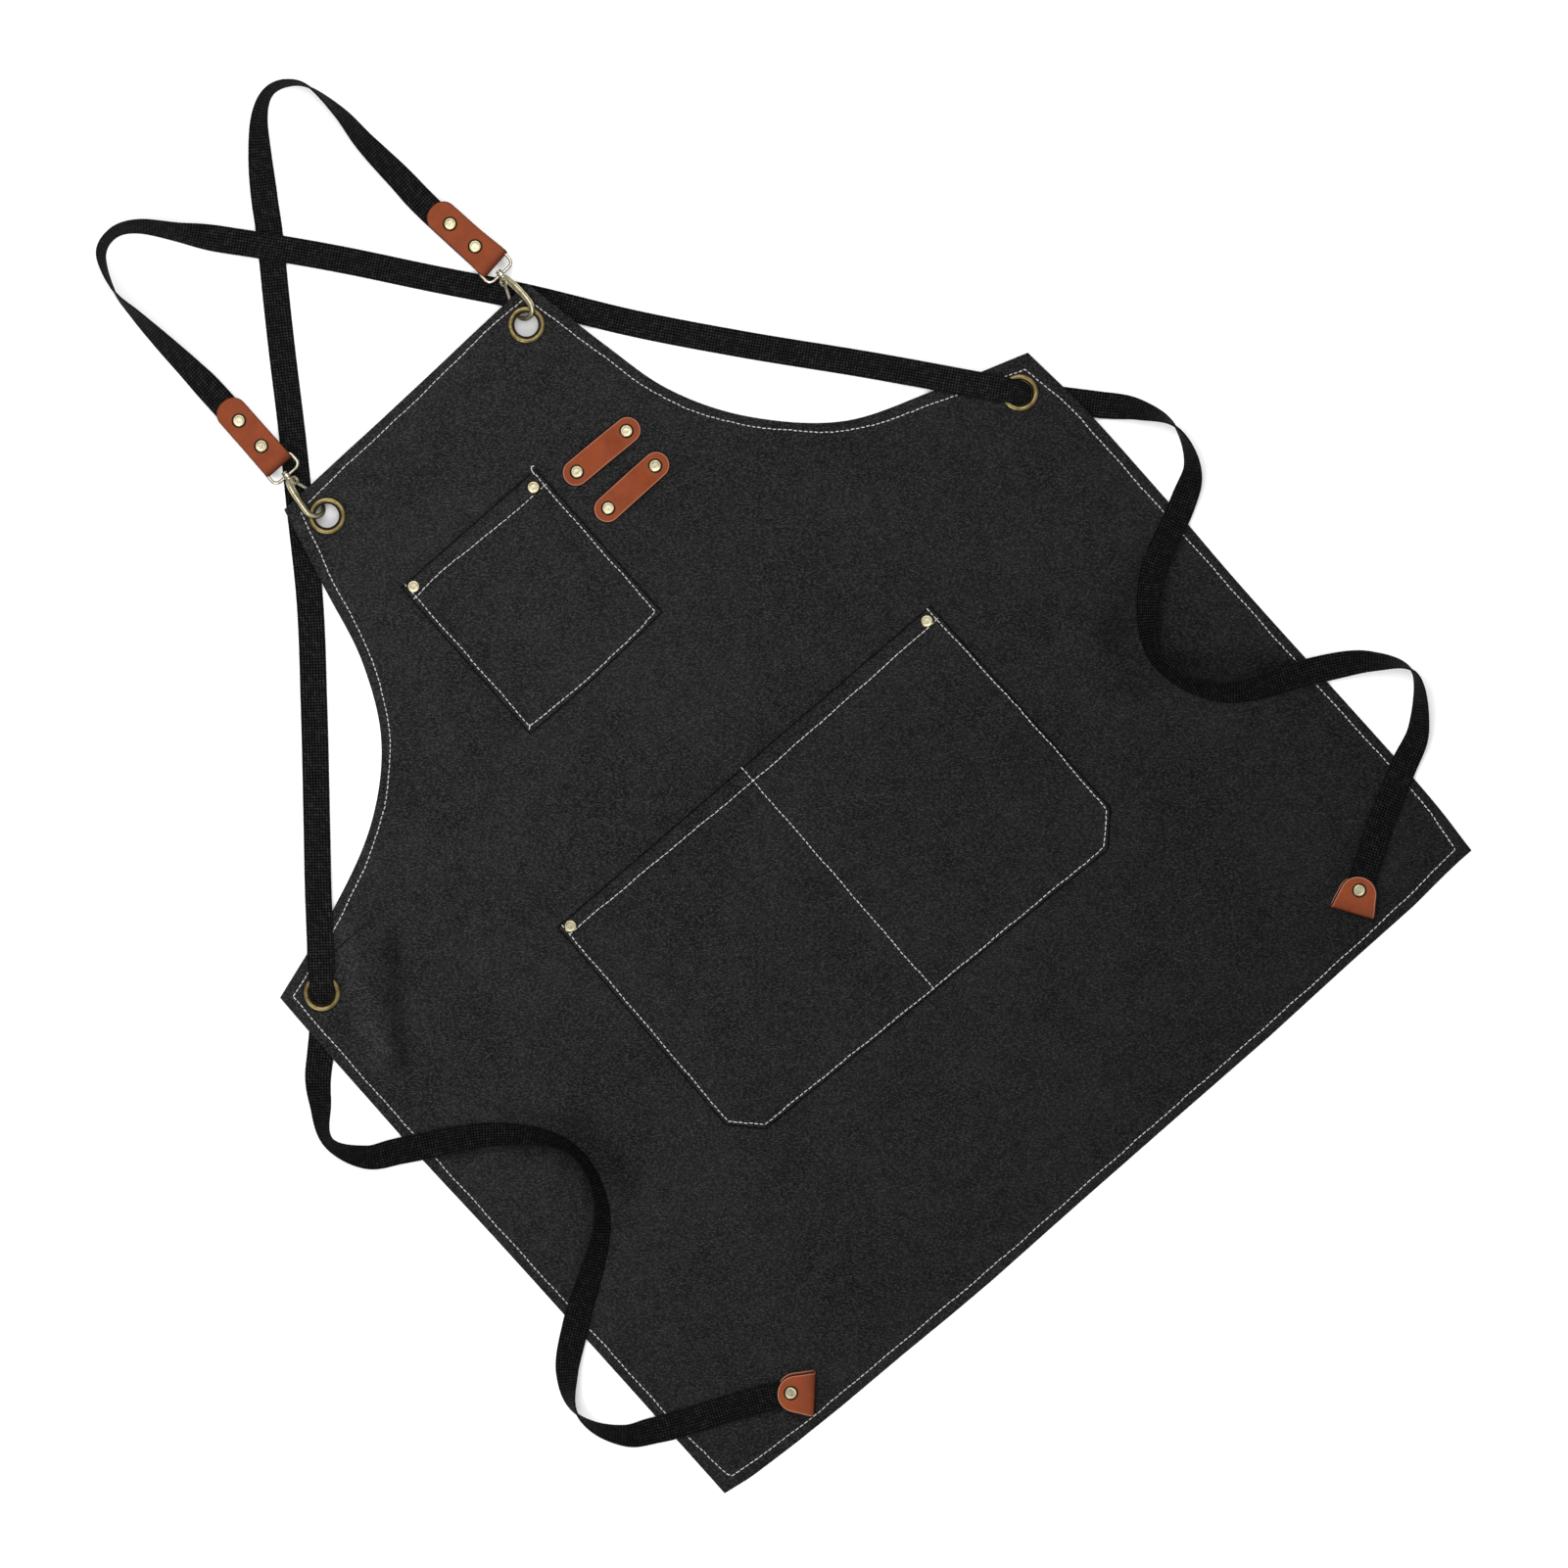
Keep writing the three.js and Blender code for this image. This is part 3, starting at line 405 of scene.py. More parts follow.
yarnForm = {
    "twill": 41.0,                  # degrees from the warp to the twill
    "fine": (0.48, 1.15, 1.0),      # how the two noises are drawn out along it
    "coarse": (0.6, 1.0, 1.0),
    "fleckRange": (0.52, 0.70),     # noise where a fleck begins and where it is full
    "fuzz": 3.0,                    # times finer than the flecks
}


# Woven yarn: the product of two rectified sines gives the weave's cells, and two noises drawn out along the
# twill, which runs at a slant over warp and weft, give pale flecks.
def yarnGroup():
    inputs = [("Vector", "NodeSocketVector", None), ("Yarns", "NodeSocketFloat", 1800.0),
              ("Flecks", "NodeSocketFloat", 420.0)]
    tree, source, result = newGroup("wovenYarn", inputs, ["Weave", "Fleck", "Fuzz"])
    vector = source.outputs["Vector"]
    split = addNode(tree, "ShaderNodeSeparateXYZ", {0: vector})
    turns = mathOf(tree, "MULTIPLY", source.outputs["Yarns"], math.pi)
    waves = [mathOf(tree, "SINE", mathOf(tree, "MULTIPLY", split.outputs[i], turns)) for i in (0, 1)]
    weave = mathOf(tree, "MULTIPLY", *[mathOf(tree, "ABSOLUTE", wave) for wave in waves])
    flecks = source.outputs["Flecks"]
    slant = {"Vector": vector, "Angle": math.radians(yarnForm["twill"])}
    twill = addNode(tree, "ShaderNodeVectorRotate", slant, rotation_type="Z_AXIS").outputs[0]
    fine, coarse = (noiseOf(tree, stretched(tree, twill, yarnForm[name]), flecks, 2.0, 0.6)
                    for name in ("fine", "coarse"))
    fleck = rangeOf(tree, mathOf(tree, "MAXIMUM", fine, coarse), *yarnForm["fleckRange"])
    fuzz = noiseOf(tree, vector, mathOf(tree, "MULTIPLY", flecks, yarnForm["fuzz"]), 3.0, 0.7)
    for name, value in (("Weave", weave), ("Fleck", fleck), ("Fuzz", fuzz)):
        tree.links.new(value, result.inputs[name])
    return tree


tarnishForm = {"stainRange": (0.38, 0.68), "speck": 9.0}     # noise of clean and of full stain; times finer


# Metal surface: large soft stains and fine specks from two noises.
def tarnishGroup():
    inputs = [("Vector", "NodeSocketVector", None), ("Stains", "NodeSocketFloat", 160.0)]
    tree, source, result = newGroup("brassTarnish", inputs, ["Stain", "Speck"])
    vector, stains = source.outputs["Vector"], source.outputs["Stains"]
    stain = rangeOf(tree, noiseOf(tree, vector, stains, 4.0, 0.6), *tarnishForm["stainRange"])
    speck = noiseOf(tree, vector, mathOf(tree, "MULTIPLY", stains, tarnishForm["speck"]), 3.0, 0.7)
    tree.links.new(stain, result.inputs["Stain"])
    tree.links.new(speck, result.inputs["Speck"])
    return tree


# New material with its shader, its coordinates and the mark that its pieces carry.
def newFinish(name, **plain):
    finish = bpy.data.materials.new(name)
    finish.use_nodes = True
    tree = finish.node_tree
    shader = tree.nodes["Principled BSDF"]
    for socket, value in plain.items():
        shader.inputs[socket.replace("_", " ")].default_value = value
    place = tree.nodes.new("ShaderNodeTexCoord")
    mark = addNode(tree, "ShaderNodeAttribute", attribute_name="mark").outputs["Fac"]
    return finish, tree, shader, place, mark


# A node group placed in a material with its own values.
def groupIn(tree, group, sockets):
    return addNode(tree, "ShaderNodeGroup", sockets, node_tree=group).outputs


noiseMiddle = (0.3, 0.7)    # where most of a noise lies


# Roughness that goes from the first level to the second over the middle of a noise.
def roughInto(tree, shader, noise, levels):
    tree.links.new(rangeOf(tree, noise, *noiseMiddle, *levels), shader.inputs["Roughness"])


# Relief by a height of 0 to about 1 that stands for the distance in metres.
def bumpInto(tree, shader, height, distance, strength):
    bump = addNode(tree, "ShaderNodeBump", {"Height": height, "Distance": distance, "Strength": strength})
    tree.links.new(bump.outputs["Normal"], shader.inputs["Normal"])


canvasLook = {
    "dark": rgb(0.0050, 0.0050, 0.0051), "light": rgb(0.0104, 0.0104, 0.0105),
    # the colour after the fleck is painted shade, beside folds, standing straps and pocket edges
    "fleck": rgb(0.062, 0.062, 0.062), "creaseAndPaintedShade": rgb(0.0004, 0.0004, 0.0004),
    "yarns": 1800.0, "flecks": 1050.0, "mottle": 85.0, "wash": 13.0,
    "toneRange": (0.78, 1.22), "fleckShare": 0.55, "rough": (0.82, 0.98), "weaveShare": 0.5,
    "bump": (0.0004, 0.6),
    # painted light: the cloth is paler toward the bib and the left; its slope for each metre, then its level
    # at the origin
    "paintedLight": (-0.27, 0.55, 0.0),     # paler toward the bib and the left: slope for each metre
    "shadeEdgeAndLightLevel": 0.95,                  # and level at the origin
}


# Charcoal canvas: washed tone from broad and middling noise, heather flecks, painted shade where the mark is
# over 0, all scaled by painted light that grows evenly along one direction, and painted highlight where it is
# under 0.
def canvasFinish(yarn):
    finish, tree, shader, place, mark = newFinish("charcoalCanvas", Specular_IOR_Level=0.05)
    spot = place.outputs["Object"]
    threads = {"Yarns": canvasLook["yarns"], "Flecks": canvasLook["flecks"]}
    cloth = groupIn(tree, yarn, {"Vector": spot, **threads})
    wash = noiseOf(tree, spot, canvasLook["wash"], 4.0, 0.6)
    mottle = noiseOf(tree, spot, canvasLook["mottle"], 4.0, 0.65)
    broad = rangeOf(tree, mathOf(tree, "ADD", wash, mottle), *canvasLook["toneRange"])
    tone = mixOf(tree, broad, canvasLook["dark"], canvasLook["light"])
    flecks = mathOf(tree, "MULTIPLY", cloth["Fleck"], canvasLook["fleckShare"])
    tone = mixOf(tree, flecks, tone, canvasLook["fleck"])
    # painted shade where the mark is over 0
    tone = mixOf(tree, mark, tone, canvasLook["creaseAndPaintedShade"])
    # painted light: the colour is scaled by a level that grows evenly along one direction
    paintedLight = addNode(tree, "ShaderNodeVectorMath", {0: spot, 1: canvasLook["paintedLight"]}, operation="DOT_PRODUCT")
    level = mathOf(tree, "ADD", paintedLight.outputs["Value"], canvasLook["shadeEdgeAndLightLevel"])
    # painted highlight where the mark is under 0, on a fold's ridge
    level = mathOf(tree, "SUBTRACT", level, mathOf(tree, "MINIMUM", mark, 0.0))
    tree.links.new(dimmed(tree, tone, level), shader.inputs["Base Color"])
    roughInto(tree, shader, cloth["Fuzz"], canvasLook["rough"])
    weave = mathOf(tree, "MULTIPLY", cloth["Weave"], canvasLook["weaveShare"])
    bumpInto(tree, shader, mathOf(tree, "ADD", weave, cloth["Fuzz"]), *canvasLook["bump"])
    return finish


webbingLook = {
    "groove": rgb(0.0001, 0.0001, 0.0001), "rib": rgb(0.0140, 0.0140, 0.0141),
    "fleck": rgb(0.034, 0.034, 0.034), "selvedge": rgb(0.008, 0.008, 0.008), "yarns": 485.0, "flecks": 430.0,
    "selvedgeShare": 0.7, "rough": (0.62, 0.82), "fuzzShare": 0.3, "bump": (0.0008, 0.9),
    "darkeningSpan": (0.85, 1.0), "depth": 0.68,          # metres along where it grows darker, and to what share
}


# Black webbing: a raised grid of yarns that follows the strap, with selvedges of one even tone, all scaled
# down along the half that ends in the skirt.
def webbingFinish(yarn):
    finish, tree, shader, place, mark = newFinish("blackWebbing", Specular_IOR_Level=0.025)
    lay = place.outputs["UV"]
    threads = {"Yarns": webbingLook["yarns"], "Flecks": webbingLook["flecks"]}
    band = groupIn(tree, yarn, {"Vector": lay, **threads})
    tone = mixOf(tree, band["Weave"], webbingLook["groove"], webbingLook["rib"])
    knots = mathOf(tree, "MULTIPLY", band["Fleck"], band["Weave"])
    tone = mixOf(tree, knots, tone, webbingLook["fleck"])
    selvedge = mathOf(tree, "MULTIPLY", mark, webbingLook["selvedgeShare"])
    tone = mixOf(tree, selvedge, tone, webbingLook["selvedge"])
    length = addNode(tree, "ShaderNodeSeparateXYZ", {0: lay}).outputs["X"]
    level = rangeOf(tree, length, *webbingLook["darkeningSpan"], 1.0, webbingLook["depth"])
    tree.links.new(dimmed(tree, tone, level), shader.inputs["Base Color"])
    roughInto(tree, shader, band["Fuzz"], webbingLook["rough"])
    fuzz = mathOf(tree, "MULTIPLY", band["Fuzz"], webbingLook["fuzzShare"])
    bumpInto(tree, shader, mathOf(tree, "ADD", band["Weave"], fuzz), *webbingLook["bump"])
    return finish


threadLook = {
    "shade": rgb(0.30, 0.295, 0.28), "bright": rgb(0.68, 0.67, 0.65), "yarns": 2600.0, "flecks": 1500.0,
    "fuzzShare": 0.5, "rough": (0.6, 0.85), "bump": (0.0002, 0.6),
}


# Off-white sewing thread: each stitch has its own tone, with a fine twist on it.
def threadFinish(yarn):
    finish, tree, shader, place, mark = newFinish("offWhiteThread", Specular_IOR_Level=0.3)
    threads = {"Yarns": threadLook["yarns"], "Flecks": threadLook["flecks"]}
    twist = groupIn(tree, yarn, {"Vector": place.outputs["Object"], **threads})
    tone = mathOf(tree, "ADD", mathOf(tree, "MULTIPLY", twist["Fuzz"], threadLook["fuzzShare"]), mark)
    tree.links.new(mixOf(tree, tone, threadLook["shade"], threadLook["bright"]), shader.inputs["Base Color"])
    roughInto(tree, shader, twist["Fuzz"], threadLook["rough"])
    bumpInto(tree, shader, twist["Weave"], *threadLook["bump"])
    return finish


leatherLook = {
    "deep": rgb(0.145, 0.026, 0.0045), "main": rgb(0.208, 0.038, 0.0065),
    # the colour after the edge is painted shade, for folds and for rims that stand for contact shadow
    "edge": rgb(0.36, 0.165, 0.105), "fold": rgb(0.014, 0.003, 0.001), "pores": 1100.0, "cloud": 70.0,
    "cloudRange": (0.3, 0.66), "poreRange": (0.05, 0.5), "creases": 0.35, "creaseRange": (0.35, 0.6),
    "creaseShare": 0.35, "rough": (0.42, 0.64), "poreShare": 0.5, "bump": (0.0003, 0.5),
}


# Red-brown leather: cloudy tone, fine pores pressed in, raw edges (mark over 0) paler, painted shade (under
# 0) at folds and on dark rims that stand for contact shadow. The creases are a noise at a share of the pores'
#    scale.
def leatherFinish():
    finish, tree, shader, place, mark = newFinish("redBrownLeather", Specular_IOR_Level=0.15)
    spot = place.outputs["Object"]
    cloud = rangeOf(tree, noiseOf(tree, spot, leatherLook["cloud"], 5.0, 0.65), *leatherLook["cloudRange"])
    cell = addNode(tree, "ShaderNodeTexVoronoi", {"Vector": spot, "Scale": leatherLook["pores"]})
    pore = rangeOf(tree, cell.outputs["Distance"], *leatherLook["poreRange"])
    creaseAndPaintedShade = noiseOf(tree, spot, leatherLook["pores"] * leatherLook["creases"], 4.0, 0.7)
    tone = mixOf(tree, cloud, leatherLook["deep"], leatherLook["main"])
    lines = rangeOf(tree, creaseAndPaintedShade, *leatherLook["creaseRange"], leatherLook["creaseShare"], 0.0)
    tone = mixOf(tree, lines, tone, leatherLook["deep"])
    tone = mixOf(tree, mark, tone, leatherLook["edge"])
    # painted shade where the mark is under 0
    tone = mixOf(tree, mathOf(tree, "MULTIPLY", mark, -1.0), tone, leatherLook["fold"])
    tree.links.new(tone, shader.inputs["Base Color"])
    roughInto(tree, shader, creaseAndPaintedShade, leatherLook["rough"])
    pores = mathOf(tree, "MULTIPLY", pore, leatherLook["poreShare"])
    bumpInto(tree, shader, mathOf(tree, "ADD", pores, creaseAndPaintedShade), *leatherLook["bump"])
    return finish


# each finish's dark colour is painted shade, where a piece is marked
metalLooks = {
    "antiqueBrass": {"bright": rgb(0.150, 0.120, 0.056), "stain": rgb(0.075, 0.052, 0.019),
                     "dark": rgb(0.008, 0.006, 0.004), "smooth": 0.20, "rough": 0.36, "stains": 190.0},
    "paleBrass": {"bright": rgb(0.37, 0.338, 0.228), "stain": rgb(0.22, 0.192, 0.118),
                  "dark": rgb(0.010, 0.008, 0.005), "smooth": 0.2, "rough": 0.36, "stains": 230.0},
    "castBrass": {"bright": rgb(0.46, 0.415, 0.280), "stain": rgb(0.26, 0.228, 0.138),
                  "dark": rgb(0.010, 0.008, 0.005), "smooth": 0.18, "rough": 0.34, "stains": 230.0},
    "nickel": {"bright": rgb(0.45, 0.42, 0.345), "stain": rgb(0.25, 0.225, 0.17),
               "dark": rgb(0.010, 0.009, 0.008), "smooth": 0.16, "rough": 0.30, "stains": 260.0},
}
metalBump = (0.0001, 0.25)


# Plated metal: bright metal clouded by stains, and painted shade where the piece is marked at grooves and
# gaps.
def metalFinish(name, tarnish):
    look = metalLooks[name]
    finish, tree, shader, place, mark = newFinish(name, Metallic=1.0)
    skin = groupIn(tree, tarnish, {"Vector": place.outputs["Object"], "Stains": look["stains"]})
    tone = mixOf(tree, skin["Stain"], look["bright"], look["stain"])
    # painted shade where the mark is over 0
    tone = mixOf(tree, mark, tone, look["dark"])
    tree.links.new(tone, shader.inputs["Base Color"])
    roughInto(tree, shader, skin["Speck"], (look["smooth"], look["rough"]))
    bumpInto(tree, shader, skin["Speck"], *metalBump)
    return finish


yarn = yarnGroup()
tarnish = tarnishGroup()
canvas = canvasFinish(yarn)
webbing = webbingFinish(yarn)
thread = threadFinish(yarn)
leather = leatherFinish()
antiqueBrass, paleBrass, castBrass, nickel = (metalFinish(name, tarnish) for name in metalLooks)
print("finishes ready")

# Webbing straps

strapBand = {
    "thick": 0.0016,
    "steps": 16,            # rings in each span of a route
    "section": [            # share of the half width, share of the half thickness
        (1.0, 0.0), (0.985, 0.55), (0.955, 0.9), (0.9, 1.0), (0.8, 0.96), (0.5, 0.96), (0.2, 0.96),
        (-0.2, 0.96), (-0.5, 0.96), (-0.8, 0.96), (-0.9, 1.0), (-0.955, 0.9), (-0.985, 0.55),
    ],
    "selvedge": 0.95,       # share of the half width past which the selvedge begins
    "cup": 0.16,            # sag of a gathered band, share of the width it has lost
}

# x, y, lowest point, roll in degrees, width
strapRoutes = {
    "right": [
        (0.1024, 0.4076, 0.00515, 0, 0.019), (0.0968, 0.462, 0.00495, 0, 0.019),
        (0.0958, 0.49, 0.0004, 18, 0.019), (0.094, 0.525, 0.0004, 42, 0.019),
        (0.0945, 0.552, 0.0004, 64, 0.019), (0.0905, 0.582, 0.0004, 90, 0.019),
        (0.08, 0.595, 0.0004, 102, 0.019), (0.066, 0.5975, 0.0004, 109, 0.019),
        (0.05, 0.588, 0.0004, 124, 0.019), (0.032, 0.567, 0.0004, 148, 0.019),
        (0.014, 0.542, 0.0009, 174, 0.019), (-0.005, 0.514, 0.0003, 180, 0.019),
        (-0.06, 0.44, 0.0003, 180, 0.019), (-0.105, 0.375, 0.0003, 180, 0.019),
        (-0.15, 0.308, 0.0003, 180, 0.019), (-0.2, 0.246, 0.0003, 180, 0.019),
        (-0.25, 0.1865, 0.0005, 180, 0.019), (-0.279, 0.152, 0.0042, 180, 0.019),
        (-0.301, 0.125, 0.0056, 180, 0.019), (-0.317, 0.1056, 0.0064, 180, 0.0188),
        (-0.3229, 0.0985, 0.0062, 180, 0.0174), (-0.3275, 0.093, 0.0032, 180, 0.0169),
        (-0.3321, 0.0875, 0.0003, 180, 0.0168), (-0.34, 0.078, 0.0005, 180, 0.018),
        (-0.358, 0.0605, 0.001, 180, 0.019), (-0.381, 0.04, 0.0004, 146, 0.019),
        (-0.394, 0.011, 0.0005, 110, 0.019), (-0.381, -0.015, 0.0005, 148, 0.019),
        (-0.356, -0.03, 0.0024, 176, 0.019), (-0.3, -0.065, 0.0022, 150, 0.019),
        (-0.268, -0.108, 0.0014, 114, 0.019), (-0.284, -0.158, 0.0016, 126, 0.019),
        (-0.346, -0.201, 0.0026, 174, 0.019), (-0.376, -0.225, 0.0008, 216, 0.019),
        (-0.389, -0.252, 0.0005, 270, 0.019), (-0.376, -0.286, 0.0004, 318, 0.019),
        (-0.353, -0.298, 0.0024, 354, 0.019), (-0.31, -0.317, 0.0024, 360, 0.019),
        (-0.286, -0.3285, 0.0043, 360, 0.019), (-0.262, -0.342, 0.0044, 360, 0.019),
    ],
    "left": [
        (-0.1038, 0.401, 0.00515, 0, 0.019), (-0.104, 0.458, 0.00495, 0, 0.019),
        (-0.105, 0.485, 0.0004, -28, 0.019), (-0.107, 0.515, 0.0004, -50, 0.019),
        (-0.1086, 0.54, 0.0004, -69, 0.019), (-0.1093, 0.564, 0.0004, -90, 0.019),
        (-0.101, 0.59, 0.0004, -106, 0.019), (-0.084, 0.5955, 0.0004, -109, 0.019),
        (-0.066, 0.5865, 0.0004, -118, 0.019), (-0.046, 0.563, 0.0012, -135, 0.019),
        (-0.027, 0.54, 0.0028, -176, 0.019), (-0.005, 0.514, 0.0026, -180, 0.019),
        (0.045, 0.4535, 0.0005, -180, 0.019), (0.1, 0.38, 0.0003, -180, 0.019),
        (0.15, 0.306, 0.0003, -180, 0.019), (0.2, 0.241, 0.0003, -180, 0.019),
        (0.25, 0.18, 0.0005, -180, 0.019), (0.277, 0.146, 0.0042, -180, 0.019),
        (0.2985, 0.1185, 0.0056, -180, 0.019), (0.315, 0.0976, 0.0064, -180, 0.0188),
        (0.3206, 0.0906, 0.0062, -180, 0.0174), (0.325, 0.085, 0.0032, -180, 0.0169),
        (0.3294, 0.0794, 0.0003, -180, 0.0168), (0.337, 0.07, 0.0005, -180, 0.018),
        (0.361, 0.042, 0.0009, -180, 0.019), (0.38, 0.02, 0.0006, -218, 0.019),
        (0.3915, -0.006, 0.0005, -268, 0.019), (0.382, -0.035, 0.0004, -306, 0.019),
        (0.357, -0.0515, 0.0024, -352, 0.019), (0.305, -0.077, 0.0022, -330, 0.019),
        (0.2725, -0.12, 0.0014, -294, 0.019), (0.293, -0.17, 0.0016, -318, 0.019),
        (0.352, -0.201, 0.0028, -354, 0.019), (0.386, -0.223, 0.0008, -402, 0.019),
        (0.403, -0.249, 0.0005, -454, 0.019), (0.38, -0.28, 0.0004, -498, 0.019),
        (0.353, -0.294, 0.0024, -534, 0.019), (0.316, -0.3125, 0.0024, -540, 0.019),
        (0.291, -0.327, 0.0043, -540, 0.019), (0.264, -0.3425, 0.0044, -540, 0.019),
    ],
}

# place, sideways move and reach: where a strap lies a few millimetres off its route
strapNudges = {
    "right": [((-0.075, 0.408), (0.0025, -0.0019), 0.085), ((0.079, 0.596), (-0.0010, -0.0014), 0.025),
              ((-0.382, 0.037), (0.0032, -0.0019), 0.018), ((-0.374, -0.291), (0.0018, 0.0025), 0.020)],
    "left": [((0.070, 0.426), (-0.0023, -0.0019), 0.080), ((-0.100, 0.592), (0.0019, -0.0017), 0.025)],
}


# Webbing: the section is carried along the smooth middle line, rolled about the way along. A row's middle
# stands half the rolled section's height over its lowest point. Each nudge moves the line by a bell curve of
# the distance from its place.
def strapPart(route, nudges):
    x, y, lowest, roll, width = np.array(route).T
    roll = np.radians(roll)
    middle = lowest + (width * np.abs(np.sin(roll)) + strapBand["thick"] * np.abs(np.cos(roll))) / 2
    line = smoothLine(np.stack([x, y, middle, roll, width], -1), strapBand["steps"])
    centre, roll, width = line[:, :3], line[:, 3, None], line[:, 4, None]
    for place, move, reach in nudges:
        near = np.exp(-np.sum((centre[:, :2] - place)**2, axis=1) / reach**2)
        centre[:, :2] += near[:, None] * move
    along = np.gradient(centre, axis=0)
    along /= np.linalg.norm(along, axis=1, keepdims=True)
    level = np.stack([-along[:, 1], along[:, 0], np.zeros(len(along))], -1)
    level /= np.linalg.norm(level, axis=1, keepdims=True)
    across = level * np.cos(roll) + np.cross(along, level) * np.sin(roll)
    normal = np.cross(along, across)
    upper = np.array(strapBand["section"])
    section = np.vstack([upper, -upper])
    share, rise = section[:, 0], section[:, 1] * strapBand["thick"] / 2
    lost = np.max(width) - width
    cup = lost * strapBand["cup"] * (1 - share**2)
    rings = centre[:, None] + (width / 2 * share)[..., None] * across[:, None] \
        + (rise - cup)[..., None] * normal[:, None]
    mark = np.broadcast_to(np.abs(share) > strapBand["selvedge"], rings.shape[:2]).astype(float)
    uv = np.stack(np.broadcast_arrays(travelled(centre)[:, None], np.max(width) / 2 * share), -1)
    return tubePart(rings, mark.ravel(), uv.reshape(-1, 2)), centre


straps, strapLines = {}, {}
for side, route in strapRoutes.items():
    part, strapLines[side] = strapPart(route, strapNudges[side])
    straps[side] = makePiece(f"strapWebbing.{side}", [part], webbing, [f"strap_{side}"])
    print("strap", side, "is", round(travelled(strapLines[side])[-1], 4), "m long")

# Cloth of the panel

panelCut = {
    "thick": 0.0010, "hemThick": 0.0017, "hemWidth": 0.0074, "hemStep": 0.0022, "edgeRound": 0.0009,
    "stitchIn": 0.0068, "stitchDip": 0.00030, "stitchDipWidth": 0.0008,
    "bowReach": 0.2, "spacing": 0.006, "columns": 120, "sideSteps": 60,
    "leastSlant": 0.2,      # of a row to its side line, so that the columns beside the edge stay close
    # share of the way across the bottom, drop of the bottom edge there
    "bow": [(0, 0), (0.03, 0.0034), (0.06, 0.0048), (0.09, 0.0060), (0.15, 0.0074), (0.23, 0.0080),
            (0.29, 0.0090), (0.345, 0.0094), (0.46, 0.0081), (0.58, 0.0073), (0.72, 0.0067), (0.83, 0.0044),
            (0.92, 0.0033), (0.955, 0.0014), (0.98, 0.0004), (1, 0.0003)],
    "edgeLines": [0, 0.00012, 0.0004, 0.0009, 0.0025, 0.0045, 0.0060, 0.0068, 0.0076, 0.0086, 0.0100, 0.0125],
    "cornerLines": [0.0006, 0.0015, 0.0028, 0.0045, 0.0065, 0.009, 0.012],
    # left x, left y, right x, right y, going up
    "skirtEdge": [(-0.348, -0.362, 0.3507, -0.370), (-0.3485, -0.300, 0.3537, -0.305),
                  (-0.3503, -0.130, 0.352, -0.130), (-0.3524, -0.040, 0.3529, -0.050),
                  (-0.3525, 0.050, 0.3523, 0.040), (-0.352, 0.110, 0.348, 0.1025)],
    "armholeEdge": [(-0.352, 0.110, 0.348, 0.1025), (-0.280, 0.133, 0.280, 0.1265),
                    (-0.222, 0.160, 0.218, 0.1525), (-0.178, 0.199, 0.170, 0.199),
                    (-0.151, 0.250, 0.1405, 0.250), (-0.1365, 0.306, 0.127, 0.304),
                    (-0.121, 0.3675, 0.114, 0.374)],
    # x, y, rise, flat radius, reach of the slope
    "lifts": [(-0.101, 0.350, 0.0078, 0.026, 0.052), (0.095, 0.358, 0.0078, 0.026, 0.052),
              (-0.128, 0.328, 0.0028, 0.030, 0.042), (0.122, 0.336, 0.0028, 0.030, 0.042),
              (-0.330, 0.088, 0.0035, 0.036, 0.055), (0.328, 0.080, 0.0035, 0.036, 0.055)],
    # x, y at both ends of a soft fold, rise, reach
    "folds": [(-0.286, 0.114, -0.322, 0.034, 0.0030, 0.012), (-0.318, 0.030, -0.300, -0.060, 0.0012, 0.022),
              (-0.268, 0.086, -0.316, 0.020, -0.0010, 0.011), (-0.250, 0.080, -0.290, 0.000, 0.0018, 0.017),
              (0.262, 0.085, 0.255, 0.020, 0.0014, 0.022), (0.296, 0.070, 0.268, 0.010, 0.0011, 0.028),
              (-0.230, -0.230, -0.170, -0.300, 0.0011, 0.034), (0.205, -0.240, 0.250, -0.300, 0.0010, 0.034)],
    # x, y at both ends of a soft shade beside a fold or a standing strap, depth (minus is paler), reach
    "shades": [(-0.288, 0.118, -0.328, 0.030, -0.42, 0.015), (-0.264, 0.090, -0.318, 0.018, 0.42, 0.011),
               (-0.250, -0.098, -0.252, -0.148, 0.32, 0.020), (-0.285, -0.058, -0.255, -0.095, 0.18, 0.014),
               (0.317, -0.060, 0.262, -0.085, 0.24, 0.022), (0.262, -0.085, 0.246, -0.125, 0.18, 0.022),
               (0.285, -0.130, 0.335, -0.178, 0.32, 0.013)],
}


# One at a straight line on the cloth, falling smoothly to nothing at the reach.
def softLine(points, x0, y0, x1, y1, reach):
    start, along = np.array([x0, y0]), np.array([x1 - x0, y1 - y0])
    share = np.clip(((points - start) @ along) / (along @ along), 0, 1)
    away = np.linalg.norm(points - start - share[..., None] * along, axis=-1)
    return 1 - softStep(0, reach, away)


# Height of the cloth's underside: the lifts joined by a fourth-power sum, plus the soft folds.
def clothRise(points):
    x, y = points[..., 0], points[..., 1]
    powers = np.zeros_like(x)
    for liftX, liftY, rise, core, reach in panelCut["lifts"]:
        away = np.hypot(x - liftX, y - liftY)
        powers += (rise * (1 - softStep(core, core + reach, away))) ** 4
    height = powers ** 0.25
    return height + sum(rise * softLine(points, *ends, reach) for *ends, rise, reach in panelCut["folds"])


